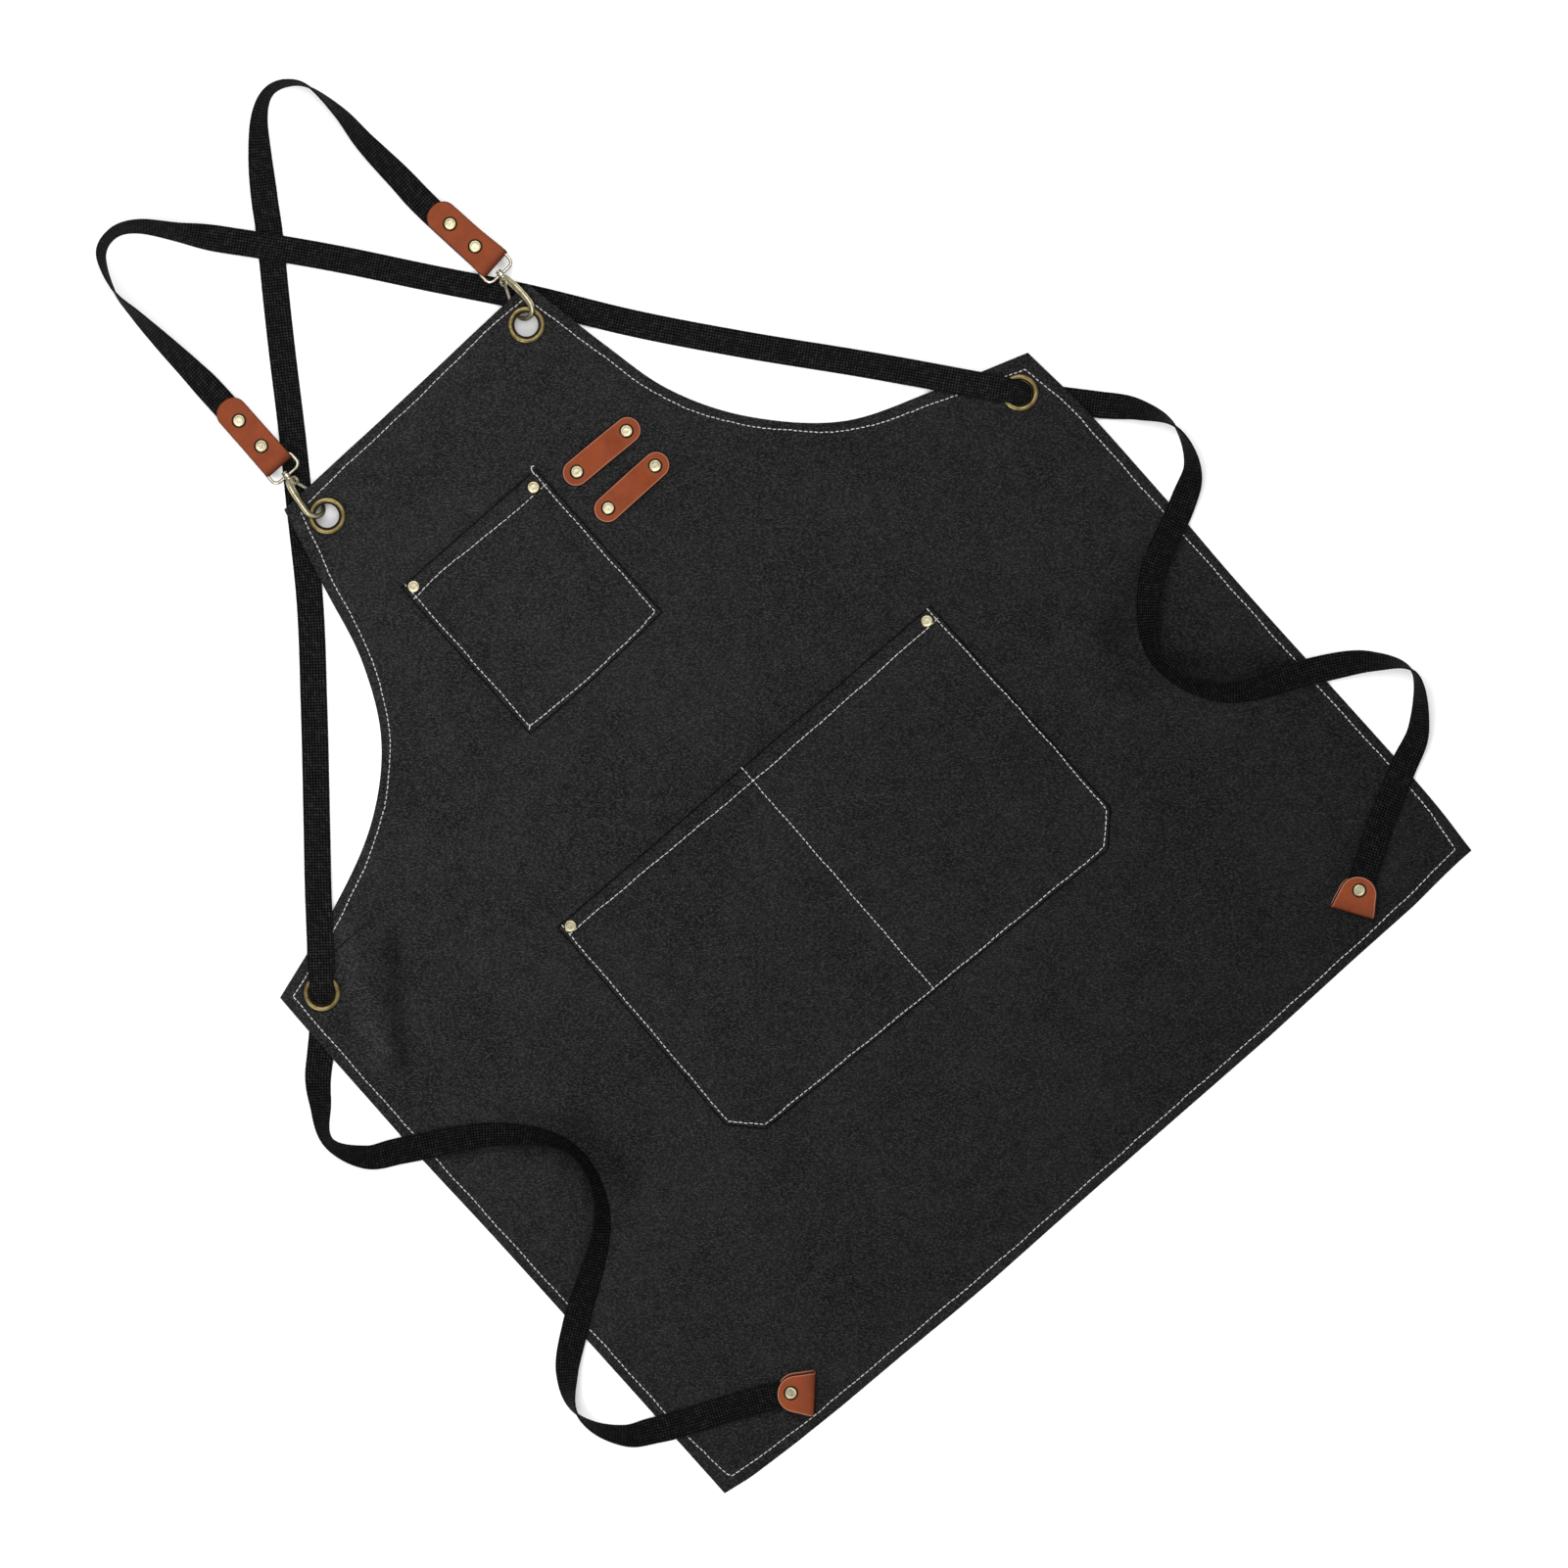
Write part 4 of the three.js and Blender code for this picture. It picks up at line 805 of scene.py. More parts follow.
# Rows of plan points between the two side lines. Near each side the columns keep their distance from the
# edge, measured square to it, and the rest share what is left. The bow is added by each row's share of it.
def clothRows(leftLine, rightLine, shares, bowShare):
    leftEnd, rightEnd = travelled(leftLine)[-1], travelled(rightLine)[-1]
    start, end = pointsAt(leftLine, shares * leftEnd), pointsAt(rightLine, shares * rightEnd)
    width = np.linalg.norm(end - start, axis=1, keepdims=True)
    row = (end - start) / width
    slants = [np.abs(row[:, 0] * way[:, 1] - row[:, 1] * way[:, 0])[:, None] for way in
              (directionsAt(leftLine, shares * leftEnd), directionsAt(rightLine, shares * rightEnd))]
    edge = np.array(panelCut["edgeLines"])
    left, right = (edge / np.maximum(slant, panelCut["leastSlant"]) / width for slant in slants)
    between = np.linspace(0, 1, panelCut["columns"])[1:-1]
    inner = left[:, -1:] + (1 - right[:, -1:] - left[:, -1:]) * between
    places = np.concatenate([left, inner, 1 - right[:, ::-1]], 1)
    rows = start[:, None] + places[..., None] * (end - start)[:, None]
    rows[..., 1] -= bowShare[:, None] * np.interp(places, *np.array(panelCut["bow"]).T)
    return rows


sideLines = {
    name: [smoothLine(np.array(panelCut[name])[:, i:i + 2], panelCut["sideSteps"]) for i in (0, 2)]
    for name in ("skirtEdge", "armholeEdge")
}


# The whole panel's plan: rows up the skirt, which bow at the bottom, then rows up between the armholes.
def panelPlan():
    edge, corner = np.array(panelCut["edgeLines"]), np.array(panelCut["cornerLines"])
    sideLength, armLength = (travelled(sideLines[name][0])[-1] for name in ("skirtEdge", "armholeEdge"))
    gap = panelCut["spacing"]
    up = np.concatenate([
        edge, np.arange(edge[-1] + gap, sideLength - corner[-1] - gap / 2, gap), (sideLength - corner)[::-1]])
    bowShare = np.maximum(0, 1 - up / panelCut["bowReach"])
    skirt = clothRows(*sideLines["skirtEdge"], up / sideLength, bowShare)
    up = np.concatenate([
        [0], corner, np.arange(corner[-1] + gap, armLength - edge[-1] - gap / 2, gap),
        (armLength - edge)[::-1]])
    bib = clothRows(*sideLines["armholeEdge"], up / armLength, np.zeros(len(up)))
    return np.concatenate([skirt, bib])


panelGrid = panelPlan()
panelOutline = np.concatenate([
    panelGrid[0], panelGrid[1:-1, -1], panelGrid[-1, ::-1], panelGrid[-2:0:-1, 0]])


# Thickness of hemmed cloth at a distance from its edge: the turned hem, a dip along its stitches, one layer.
def hemThickness(distance, cut):
    turned = 1 - softStep(cut["hemWidth"], cut["hemWidth"] + cut["hemStep"], distance)
    dip = np.exp(-((distance - cut["stitchIn"]) / cut["stitchDipWidth"]) ** 2)
    return cut["thick"] + (cut["hemThick"] - cut["thick"]) * turned - cut["stitchDip"] * dip


# Quarter-round swelling from the edge inward: sqrt(1 - (1 - d/r)^2).
def edgeSwell(distance, radius):
    return np.sqrt(1 - (1 - np.minimum(distance / radius, 1)) ** 2)


# Height of the panel's upper face: the underside's rise plus the thickness there.
def panelTop(points):
    return clothRise(points) + hemThickness(outlineDistance(points, panelOutline), panelCut)


# Closed cloth wall on a grid of plan points: each face stands half the thickness x the edge's swelling from
# the middle of the wall, and the two share the points of the grid's border.
def wallPart(plan, under, thick, distance, radius, mark):
    rows, columns = plan.shape[:2]
    swell = edgeSwell(distance, radius)
    upper = np.concatenate([plan, (under + thick / 2 * (1 + swell))[..., None]], -1)
    lower = np.concatenate([plan, (under + thick / 2 * (1 - swell))[..., None]], -1)
    numbers = np.arange(rows * columns).reshape(rows, columns)
    beneath = numbers.copy()
    inner = (rows - 2, columns - 2)
    beneath[1:-1, 1:-1] = rows * columns + np.arange(inner[0] * inner[1]).reshape(inner)
    quads = gridQuads(rows, columns)
    faces = quads.tolist() + beneath.ravel()[quads][:, ::-1].tolist()
    points = np.concatenate([upper.reshape(-1, 3), lower[1:-1, 1:-1].reshape(-1, 3)])
    return partOf(points, faces, np.concatenate([mark.ravel(), mark[1:-1, 1:-1].ravel()]))


grommetPlaces = [   # name, x, y, height of the cloth's underside there
    ("bib_grommet_left", -0.101, 0.344, 0.0078), ("bib_grommet_right", 0.0944, 0.3522, 0.0078),
    ("side_grommet_left", -0.3275, 0.093, 0.0035), ("side_grommet_right", 0.325, 0.085, 0.0035),
]

grommetForm = {
    "hole": 0.0099, "sides": 48, "cutTop": 0.03,
    # the darkness below is painted shade on the outer edge, the groove and the ledge
    # radius, height over the cloth's face and darkness, up the outside, over the roll and in along the ledge
    "front": [(0.0134, -0.00005, 0.8), (0.0136, 0.0003, 0.65), (0.0135, 0.0008, 0.4), (0.0131, 0.00128, 0.2),
              (0.0123, 0.00166, 0.05), (0.0114, 0.0018, 0), (0.0105, 0.00166, 0.05), (0.0098, 0.00128, 0.3),
              (0.0094, 0.0008, 0.6), (0.0091, 0.0004, 0.85), (0.0088, 0.0003, 0.85), (0.0085, 0.00015, 0.7),
              (0.0084, -0.0001, 0.6)],
    # the same under the cloth's underside, outward along the washer at the back
    "back": [(0.0084, -0.0007, 0.8), (0.0110, -0.0007, 0.3), (0.0112, -0.0004, 0.3), (0.0112, 0.0, 0.5),
             (0.0095, 0.0, 0.8)],
}


# Round cutters through the panel where the grommets sit, taken away by a Boolean that is then applied.
def cutGrommetHoles(piece):
    profile = [(grommetForm["hole"], -grommetForm["cutTop"]), (grommetForm["hole"], grommetForm["cutTop"])]
    cutters = [placed(turnedPart(profile, grommetForm["sides"]), unturned, (x, y, 0))
               for _, x, y, _ in grommetPlaces]
    cutter = bpy.data.objects.new("grommetCutters", joinedMesh("grommetCutters", cutters))
    bpy.context.scene.collection.objects.link(cutter)
    cut = piece.modifiers.new("grommetHoles", "BOOLEAN")
    cut.object = cutter
    cut.operation = "DIFFERENCE"
    cut.solver = "MANIFOLD"
    shape = bpy.data.meshes.new_from_object(piece.evaluated_get(bpy.context.evaluated_depsgraph_get()))
    piece.modifiers.clear()
    old, piece.data = piece.data, shape
    bpy.data.meshes.remove(old)
    bpy.data.objects.remove(cutter)
    shape.name = piece.name


# The panel, marked by its soft shades (the sum of all lines' depths), with the grommets' holes cut.
def makePanel():
    distance = outlineDistance(panelGrid, panelOutline)
    shade = sum(depth * softLine(panelGrid, *ends, reach) for *ends, depth, reach in panelCut["shades"])
    part = wallPart(panelGrid, clothRise(panelGrid), hemThickness(distance, panelCut), distance,
                    panelCut["edgeRound"], shade)
    panel = makePiece("panelCanvas", [part], canvas, ["apron_panel"])
    cutGrommetHoles(panel)
    return panel


panel = makePanel()
print("panel sewn:", len(panel.data.polygons), "faces")

# Pockets

pocketCut = {
    "thick": 0.0010, "hemThick": 0.0021, "hemWidth": 0.0060, "hemStep": 0.0020, "edgeRound": 0.0008,
    # the last pair on the next line is where the painted shade along a pocket's edge is full and where it is
    # gone
    "stitchIn": 0.0033, "stitchDip": 0.00035, "stitchDipWidth": 0.0008, "creaseAndPaintedShade": (0.0003, 0.0012),
    "seat": 0.00008, "puff": 0.0005, "puffReach": 0.03,
    "sameEdge": 1e-6, "offEdge": 1.0,       # by the mouth, the turned edge counts as far off
    "mouthHem": 0.012, "mouthThick": 0.0023, "mouthStep": 0.0014, "mouthGape": 0.0011, "mouthReach": 0.035,
    "edgeLines": [0, 0.00012, 0.0004, 0.0009, 0.0018, 0.0026, 0.0033, 0.0040, 0.0050, 0.0062, 0.0080, 0.0105],
    "mouthLines": [0, 0.00012, 0.0004, 0.0009, 0.003, 0.006, 0.0095, 0.0110, 0.0119, 0.0127, 0.0136, 0.016],
}

pockets = {
    "chest": {
        # left x, left y, right x, right y, going up
        "rows": [(-0.0955, 0.133, 0.032, 0.136), (-0.0955, 0.2713, 0.032, 0.2713)],
        "bow": 0.0018, "spacing": 0.005, "columns": 26, "seams": [], "flat": (0.1435, 0.160), "area": None,
    },
    "waist": {
        "rows": [(-0.1555, -0.1875, 0.1575, -0.1995), (-0.175, -0.166, 0.1788, -0.1785),
                 (-0.1715, 0.0175, 0.1775, 0.0135)],
        "bow": 0.0, "spacing": 0.006, "columns": 60, "seams": [0.495], "flat": (0.370, 0.232), "area": 0.0835,
    },
}

seamDip = {"lines": [-0.004, -0.0022, -0.0012, -0.0006, 0, 0.0006, 0.0012, 0.0022, 0.004],
           "depth": 0.0006, "width": 0.0013}


# Plan of a pocket: rows between straight side pieces, with close lines along its edges, mouth and seams.
def pocketPlan(pocket):
    corners = np.array(pocket["rows"]).reshape(-1, 2, 2)
    rise = np.linalg.norm(np.diff(corners[:, 0], axis=0), axis=1)
    edge, mouth = np.array(pocketCut["edgeLines"]), np.array(pocketCut["mouthLines"])
    marks = np.concatenate([[0], np.cumsum(rise)])
    top = marks[-1]
    between = np.arange(edge[-1] + pocket["spacing"], top - mouth[-1], pocket["spacing"])
    levels = np.concatenate([edge, between, top - mouth, marks[1:-1]])
    levels = np.unique(np.round(levels, 6))
    sides = [np.stack([np.interp(levels, marks, column) for column in corners[:, i].T], -1) for i in (0, 1)]
    width = np.linalg.norm(sides[1] - sides[0], axis=1)
    even = np.linspace(0, 1, pocket["columns"])[1:-1]
    near = edge[-1] / width.mean()
    shares = [edge / width.mean(), 1 - edge / width.mean(), near + (1 - 2 * near) * even]
    shares += [seam + np.array(seamDip["lines"]) / width.mean() for seam in pocket["seams"]]
    shares = np.unique(np.round(np.concatenate(shares), 6))
    plan = sides[0][:, None] + shares[:, None] * (sides[1] - sides[0])[:, None]
    low = 1 - softStep(0, pocketCut["mouthReach"], levels)
    plan[..., 1] -= pocket["bow"] * 4 * (shares * (1 - shares)) * low[:, None]
    outline = np.concatenate([plan[0], plan[1:-1, -1], plan[-1, ::-1], plan[-2:0:-1, 0]])
    return plan, outline


# Heights of a pocket's two faces: it lies on the panel, swells a little inside its seams, stands off at the
# mouth, and is thicker along its turned edges and its mouth hem.
def pocketFaces(pocket, points, outline):
    distance = outlineDistance(points, outline)
    x0, y0, x1, y1 = pocket["rows"][-1]
    across = np.clip((points[..., 0] - x0) / (x1 - x0), 0, 1)
    fromMouth = y0 + (y1 - y0) * across - points[..., 1]
    gape = pocketCut["mouthGape"] * (1 - softStep(0, pocketCut["mouthReach"], fromMouth))
    under = clothRise(points) + panelCut["thick"] + pocketCut["seat"]
    inside = softStep(pocketCut["stitchIn"], pocketCut["puffReach"], distance)
    seams = np.ones_like(across)
    for seam in pocket["seams"]:
        away = (across - seam) * (x1 - x0)
        seams -= np.exp(-(away / seamDip["width"]) ** 2)
    bulge = 4 * across * (1 - across)
    under = under + (pocketCut["puff"] * inside + gape * bulge) * np.clip(seams, 0, 1)
    byMouth = fromMouth < distance + pocketCut["sameEdge"]
    thick = hemThickness(np.where(byMouth, pocketCut["offEdge"], distance), pocketCut)
    band = 1 - softStep(pocketCut["mouthHem"], pocketCut["mouthHem"] + pocketCut["mouthStep"], fromMouth)
    thick = np.maximum(thick, pocketCut["thick"] + (pocketCut["mouthThick"] - pocketCut["thick"]) * band)
    dip = np.exp(-((fromMouth - pocketCut["mouthHem"]) / pocketCut["stitchDipWidth"]) ** 2)
    return under, thick - pocketCut["stitchDip"] * dip, distance


pocketTops = {}


# A pocket with painted shade along its edge where it meets the panel; the height of its upper face is kept
# for what is sewn and riveted to it.
def makePocket(name):
    pocket = pockets[name]
    plan, outline = pocketPlan(pocket)
    under, thick, distance = pocketFaces(pocket, plan, outline)
    # painted shade: a thin dark band along the pocket's edge
    mark = 1 - softStep(*pocketCut["creaseAndPaintedShade"], distance)
    part = wallPart(plan, under, thick, distance, pocketCut["edgeRound"], mark)

    def topAt(points):
        low, wall, _ = pocketFaces(pocket, points, outline)
        return low + wall

    pocketTops[name] = topAt
    return makePiece(f"{name}PocketCanvas", [part], canvas, [f"{name}_pocket"])


pocketPieces = {name: makePocket(name) for name in pockets}
print("pockets sewn")

# Stitches

stitchForm = {
    "rings": 5, "sides": 6, "tail": 0.00040, "crown": 0.00022, "bury": 0.0005,
    "thin": 0.72,           # share of the thread's radius at a stitch's ends
    "swing": 0.00010, "drift": 0.00022, "driftLength": 0.047, "seed": 11,
    "tones": (0.2, 0.6), "tailTone": 0.5,
    "lineSteps": 24, "edgeSteps": 160, "tailSteps": 8,
}

# pitch, the share of it that shows on the face, and the thread's radius
stitchKinds = {
    "plain": (0.0037, 0.86, 0.00038),
    "close": (0.0040, 0.93, 0.00035),
    "cord": (0.0042, 0.98, 0.00034),
}

panelRuns = [
    ("plain", [(-0.3446, 0.1045), (-0.345, 0.0), (-0.343, -0.18), (-0.3418, -0.29), (-0.3412, -0.313),
               (-0.3397, -0.332), (-0.3378, -0.350), (-0.3365, -0.3553)]),
    ("close", [(-0.3365, -0.3553), (-0.334, -0.3566), (-0.32, -0.3580), (-0.28, -0.3617), (-0.23, -0.3636),
               (-0.10, -0.3668), (0.0, -0.3670), (0.15, -0.3674), (0.25, -0.3664), (0.30, -0.3647),
               (0.338, -0.3622), (0.3412, -0.3622), (0.343, -0.3605)]),
    ("plain", [(0.343, -0.3600), (0.3447, -0.345), (0.3472, -0.31), (0.346, -0.22), (0.3455, -0.10),
               (0.3452, 0.02), (0.3442, 0.058), (0.3427, 0.070), (0.3387, 0.0925), (0.3370, 0.0957)]),
    ("cord", [(-0.1055, 0.3595), (-0.088, 0.3608), (-0.04, 0.3626), (0.0, 0.3640), (0.07, 0.3674),
              (0.1085, 0.3672)]),
]

chestRuns = [
    ("plain", [(-0.092, 0.2725), (-0.0918, 0.20), (-0.092, 0.138)]),
    ("close", [(-0.092, 0.1378), (-0.07, 0.1361), (-0.04, 0.1356), (0.0, 0.1368), (0.0285, 0.1393)]),
    ("plain", [(0.0286, 0.1393), (0.0284, 0.20), (0.0287, 0.2728)]),
    ("cord", [(-0.0945, 0.2595), (-0.06, 0.2610), (-0.03, 0.2592), (0.031, 0.2580)]),
]

waistRuns = [
    ("plain", [(-0.1683, 0.0172), (-0.1700, -0.08), (-0.1718, -0.165)]),
    ("close", [(-0.1718, -0.1652), (-0.163, -0.1748), (-0.1542, -0.1844)]),
    ("close", [(-0.154, -0.1844), (0.0, -0.1912), (0.156, -0.1962)]),
    ("close", [(0.1562, -0.196), (0.166, -0.1868), (0.1756, -0.1772)]),
    ("plain", [(0.1756, -0.177), (0.1765, -0.10), (0.1743, 0.0142)]),
    ("cord", [(-0.1693, 0.0082), (-0.10, 0.0065), (0.0, 0.0036), (0.10, 0.0030), (0.1762, 0.0033)]),
    ("plain", [(0.0012, 0.0168), (0.0004, -0.09), (-0.0004, -0.1925)]),
]

# where the two lines begin and end, measured along the edge; insets are share of the way and distance from
# the edge
armholeStitches = [
    {"inward": 1, "from": 0.0053, "upTo": 0.0065,
     "insets": [(0, 0.0075), (0.12, 0.0076), (0.22, 0.0070), (0.35, 0.0062), (0.5, 0.0060), (0.65, 0.0068),
                (0.85, 0.0076), (1, 0.0104)]},
    {"inward": -1, "from": 0.0080, "upTo": 0.0065,
     "insets": [(0, 0.0104), (0.1, 0.0088), (0.22, 0.0083), (0.32, 0.0073), (0.45, 0.0059), (0.58, 0.0068),
                (0.85, 0.0072), (1, 0.0088)]},
]


# Line beside a panel edge, moved inward square to it.
def insetLine(line, run):
    end = travelled(line)[-1]
    distances = np.linspace(run["from"], end - run["upTo"], stitchForm["edgeSteps"])
    inset = run["inward"] * np.interp(distances / end, *np.array(run["insets"]).T)
    way = directionsAt(line, distances)
    return pointsAt(line, distances) + inset[:, None] * np.stack([way[:, 1], -way[:, 0]], -1)


# Stitches along a plan line: beads of thread at an even pitch. Each is a short tube whose middle stands on
# the cloth and whose ends dive into it; a seeded swing and a slow sine drift keep them from lying dead
# straight.
def stitchPart(kind, line, topAt, draw):
    pitch, cover, thread = stitchKinds[kind]
    form = stitchForm
    total = travelled(line)[-1]
    count = max(1, int(round(total / pitch)))
    pitch = total / count
    share = np.linspace(-0.5, 0.5, form["rings"])
    where = np.clip((np.arange(count)[:, None] + 0.5 + share * cover) * pitch, 0, total)
    place, way = pointsAt(line, where.ravel()), directionsAt(line, where.ravel(), pitch / 2)
    square = np.stack([-way[:, 1], way[:, 0]], -1)
    swing = draw.normal(0, form["swing"], (count, 1)) + draw.normal(0, form["swing"], (count, 1)) * share * 2
    phase = draw.uniform(0, 2 * np.pi)
    swing = swing + form["drift"] * np.sin(2 * np.pi * where / form["driftLength"] + phase)
    place = place + square * swing.reshape(-1, 1)
    arch = np.broadcast_to(np.sqrt(1 - (2 * share) ** 4), (count, form["rings"])).ravel()
    height = topAt(place) + form["crown"] * arch - form["bury"] * (1 - arch)
    radius = thread * (form["thin"] + (1 - form["thin"]) * arch)
    rings = ringsAround(np.column_stack([place, height]), square, radius, form["sides"])
    body = gridQuads(form["rings"], form["sides"], wrapColumns=True)
    size = form["rings"] * form["sides"]
    first = np.arange(form["sides"] - 1, -1, -1)
    last = np.arange(size - form["sides"], size)
    starts = size * np.arange(count)[:, None]
    faces = (starts[..., None] + body).reshape(-1, 4).tolist()
    faces += (starts + first).tolist() + (starts + last).tolist()
    tone = np.repeat(draw.uniform(*form["tones"], count), size)
    return partOf(rings, faces, tone)


# Loose end of thread: a thin tube along a given line over the cloth.
def tailPart(points, topAt):
    form = stitchForm
    line = smoothLine(np.array(points), form["tailSteps"])
    height = topAt(line[:, :2]) + line[:, 2] + form["tail"]
    step = np.gradient(line[:, :2], axis=0)
    step /= np.linalg.norm(step, axis=1, keepdims=True)
    square = np.stack([-step[:, 1], step[:, 0]], -1)
    rings = ringsAround(np.column_stack([line[:, :2], height]), square, form["tail"], form["sides"])
    return tubePart(rings, form["tailTone"])


threadTails = {   # x, y, height over the cloth
    "chest": [[(0.0286, 0.2690, 0.0), (0.0290, 0.2722, 0.0003), (0.0305, 0.2744, 0.0012),
               (0.0322, 0.2738, 0.0014)],
              [(-0.0912, 0.1384, 0.0), (-0.0928, 0.1366, 0.0004), (-0.0940, 0.1358, 0.0012)]],
}


# Height of whatever cloth is uppermost near a pocket: the pocket where it lies, the panel outside it.
def clothTopNear(name):
    _, outline = pocketPlan(pockets[name])
    low, high = outline.min(0), outline.max(0)

    def topAt(points):
        inside = np.all((points >= low) & (points <= high), axis=-1)
        return np.where(inside, pocketTops[name](points), panelTop(points))

    return topAt


# All runs of one cloth, along smooth lines.
def stitchRuns(runs, topAt, draw):
    return [stitchPart(kind, smoothLine(points, stitchForm["lineSteps"]), topAt, draw)
            for kind, points in runs]


# The stitches of the panel, then those of each pocket with its loose ends, all from one seeded draw.
def sewStitches():
    draw = np.random.default_rng(stitchForm["seed"])
    parts = stitchRuns(panelRuns, panelTop, draw)
    parts += [stitchPart("plain", insetLine(line, run), panelTop, draw)
              for line, run in zip(sideLines["armholeEdge"], armholeStitches)]
    makePiece("panelStitches", parts, thread, sharp=80)
    for name, runs in (("chest", chestRuns), ("waist", waistRuns)):
        topAt = clothTopNear(name)
        parts = stitchRuns(runs, topAt, draw)
        parts += [tailPart(points, topAt) for points in threadTails.get(name, [])]
        makePiece(f"{name}PocketStitches", parts, thread, sharp=80)


sewStitches()
print("stitches sewn")

# Leather

leatherForm = {
    "thick": 0.0018, "edgeRound": 0.0006, "blunt": 0.3, "edgeMark": (0.0003, 0.0009),
    "insets": [0, 0.0001, 0.00025, 0.0005, 0.0008, 0.0012, 0.0018], "middle": [0.7, 0.4, 0.1],
    "rimReach": 0.0006,     # how far in the dark rim of painted shadow begins
    "skin": 0.00005,        # the outermost line of points, which is as dark as the rim of painted shadow
    "spacing": 0.0009, "endSteps": 16, "leastSteps": 12, "foldSteps": 25, "archSteps": 161,
    "narrowest": 0.00002,   # half width left at a rounded end
    "wayReach": 0.0002,     # how far apart the path's direction is taken
}

# flare widens a strip toward its fold; shift moves it sideways on its rivets, and slip its lower layer alone;
# edge is how pale the cut edge is; the fold's darkness, painted shade, has a depth and a reach; rim is how
# far the dark rim of painted shadow stands out past the edge, and the last key is the side of the path that
# it is on
strapTab = {"width": 0.0223, "length": 0.0615, "corner": 0.0100, "slack": 0.0026, "thick": 0.0020,
            "behind": 0.005, "rivets": [0.015, 0.0389], "flareReach": 0.03, "shift": 0.0, "slip": 0.0,
            "edge": -0.45, "foldDark": (0.7, 0.0072), "folded": 1, "rim": 0.0002, "paintedShadowRim": 1}
endTab = {"width": 0.0257, "length": 0.0263, "corner": 0.0127, "slack": 0.0022, "thick": 0.0018,
          "behind": 0.0168, "rivets": [0.0], "flare": 0.0024, "flareReach": 0.017, "edge": 0.9,
          "foldDark": (0.35, 0.014), "folded": 1, "rim": 0.0009, "paintedShadowRim": 1}
toolLoop = {"width": 0.0186, "end": 0.0102, "arch": 0.0036, "foot": 0.0025, "thick": 0.0018, "seat": 0.00115,
            "corner": 0.0093, "flare": 0.0, "flareReach": 0.01, "shift": 0.0, "slip": 0.0, "edge": 0.9,
            "foldDark": (0.0, 0.01), "folded": 0, "rim": 0.0008, "paintedShadowRim": -1}

# place and turns of the CAD pieces, then the small ways in which each tab, loop and hook hangs out of true
hookPlaces = {
    "left": {"hand": -1, "place": (-0.1038, 0.3974, 0.00595), "tabTurn": 0.0, "hookTurn": -7.5,
             "tabShift": (0.0005, -0.0005, 0), "tabLean": 0.0, "flare": 0.0003,
             "loopTurn": 0.0, "loopShift": 0.0011, "shankLean": 0.0, "eyeShift": 0.0, "leverBow": 0.0018},
    "right": {"hand": 1, "place": (0.103, 0.4041, 0.00595), "tabTurn": 6.2, "hookTurn": -3.0,
              "tabShift": (0.0026, -0.0012, 0), "tabLean": 0.5, "flare": 0.0012,
              "loopTurn": 1.0, "loopShift": 0.0006, "shankLean": 0.0014, "eyeShift": 0.0009, "leverBow": 0.0},
}
endTabPlaces = {
    "left": {"place": (-0.2655, -0.3395, 0.0052), "turn": 46.0, "shift": -0.0006, "slip": 0.0022},
    "right": {"place": (0.272, -0.3387, 0.0052), "turn": -58.0, "shift": 0.0, "slip": -0.0013},
}
toolLoopPlaces = {   # x, y of both rivets
    "upper": (0.0524, 0.2505, 0.0978, 0.249),
    "lower": (0.052, 0.2165, 0.0968, 0.217),
}


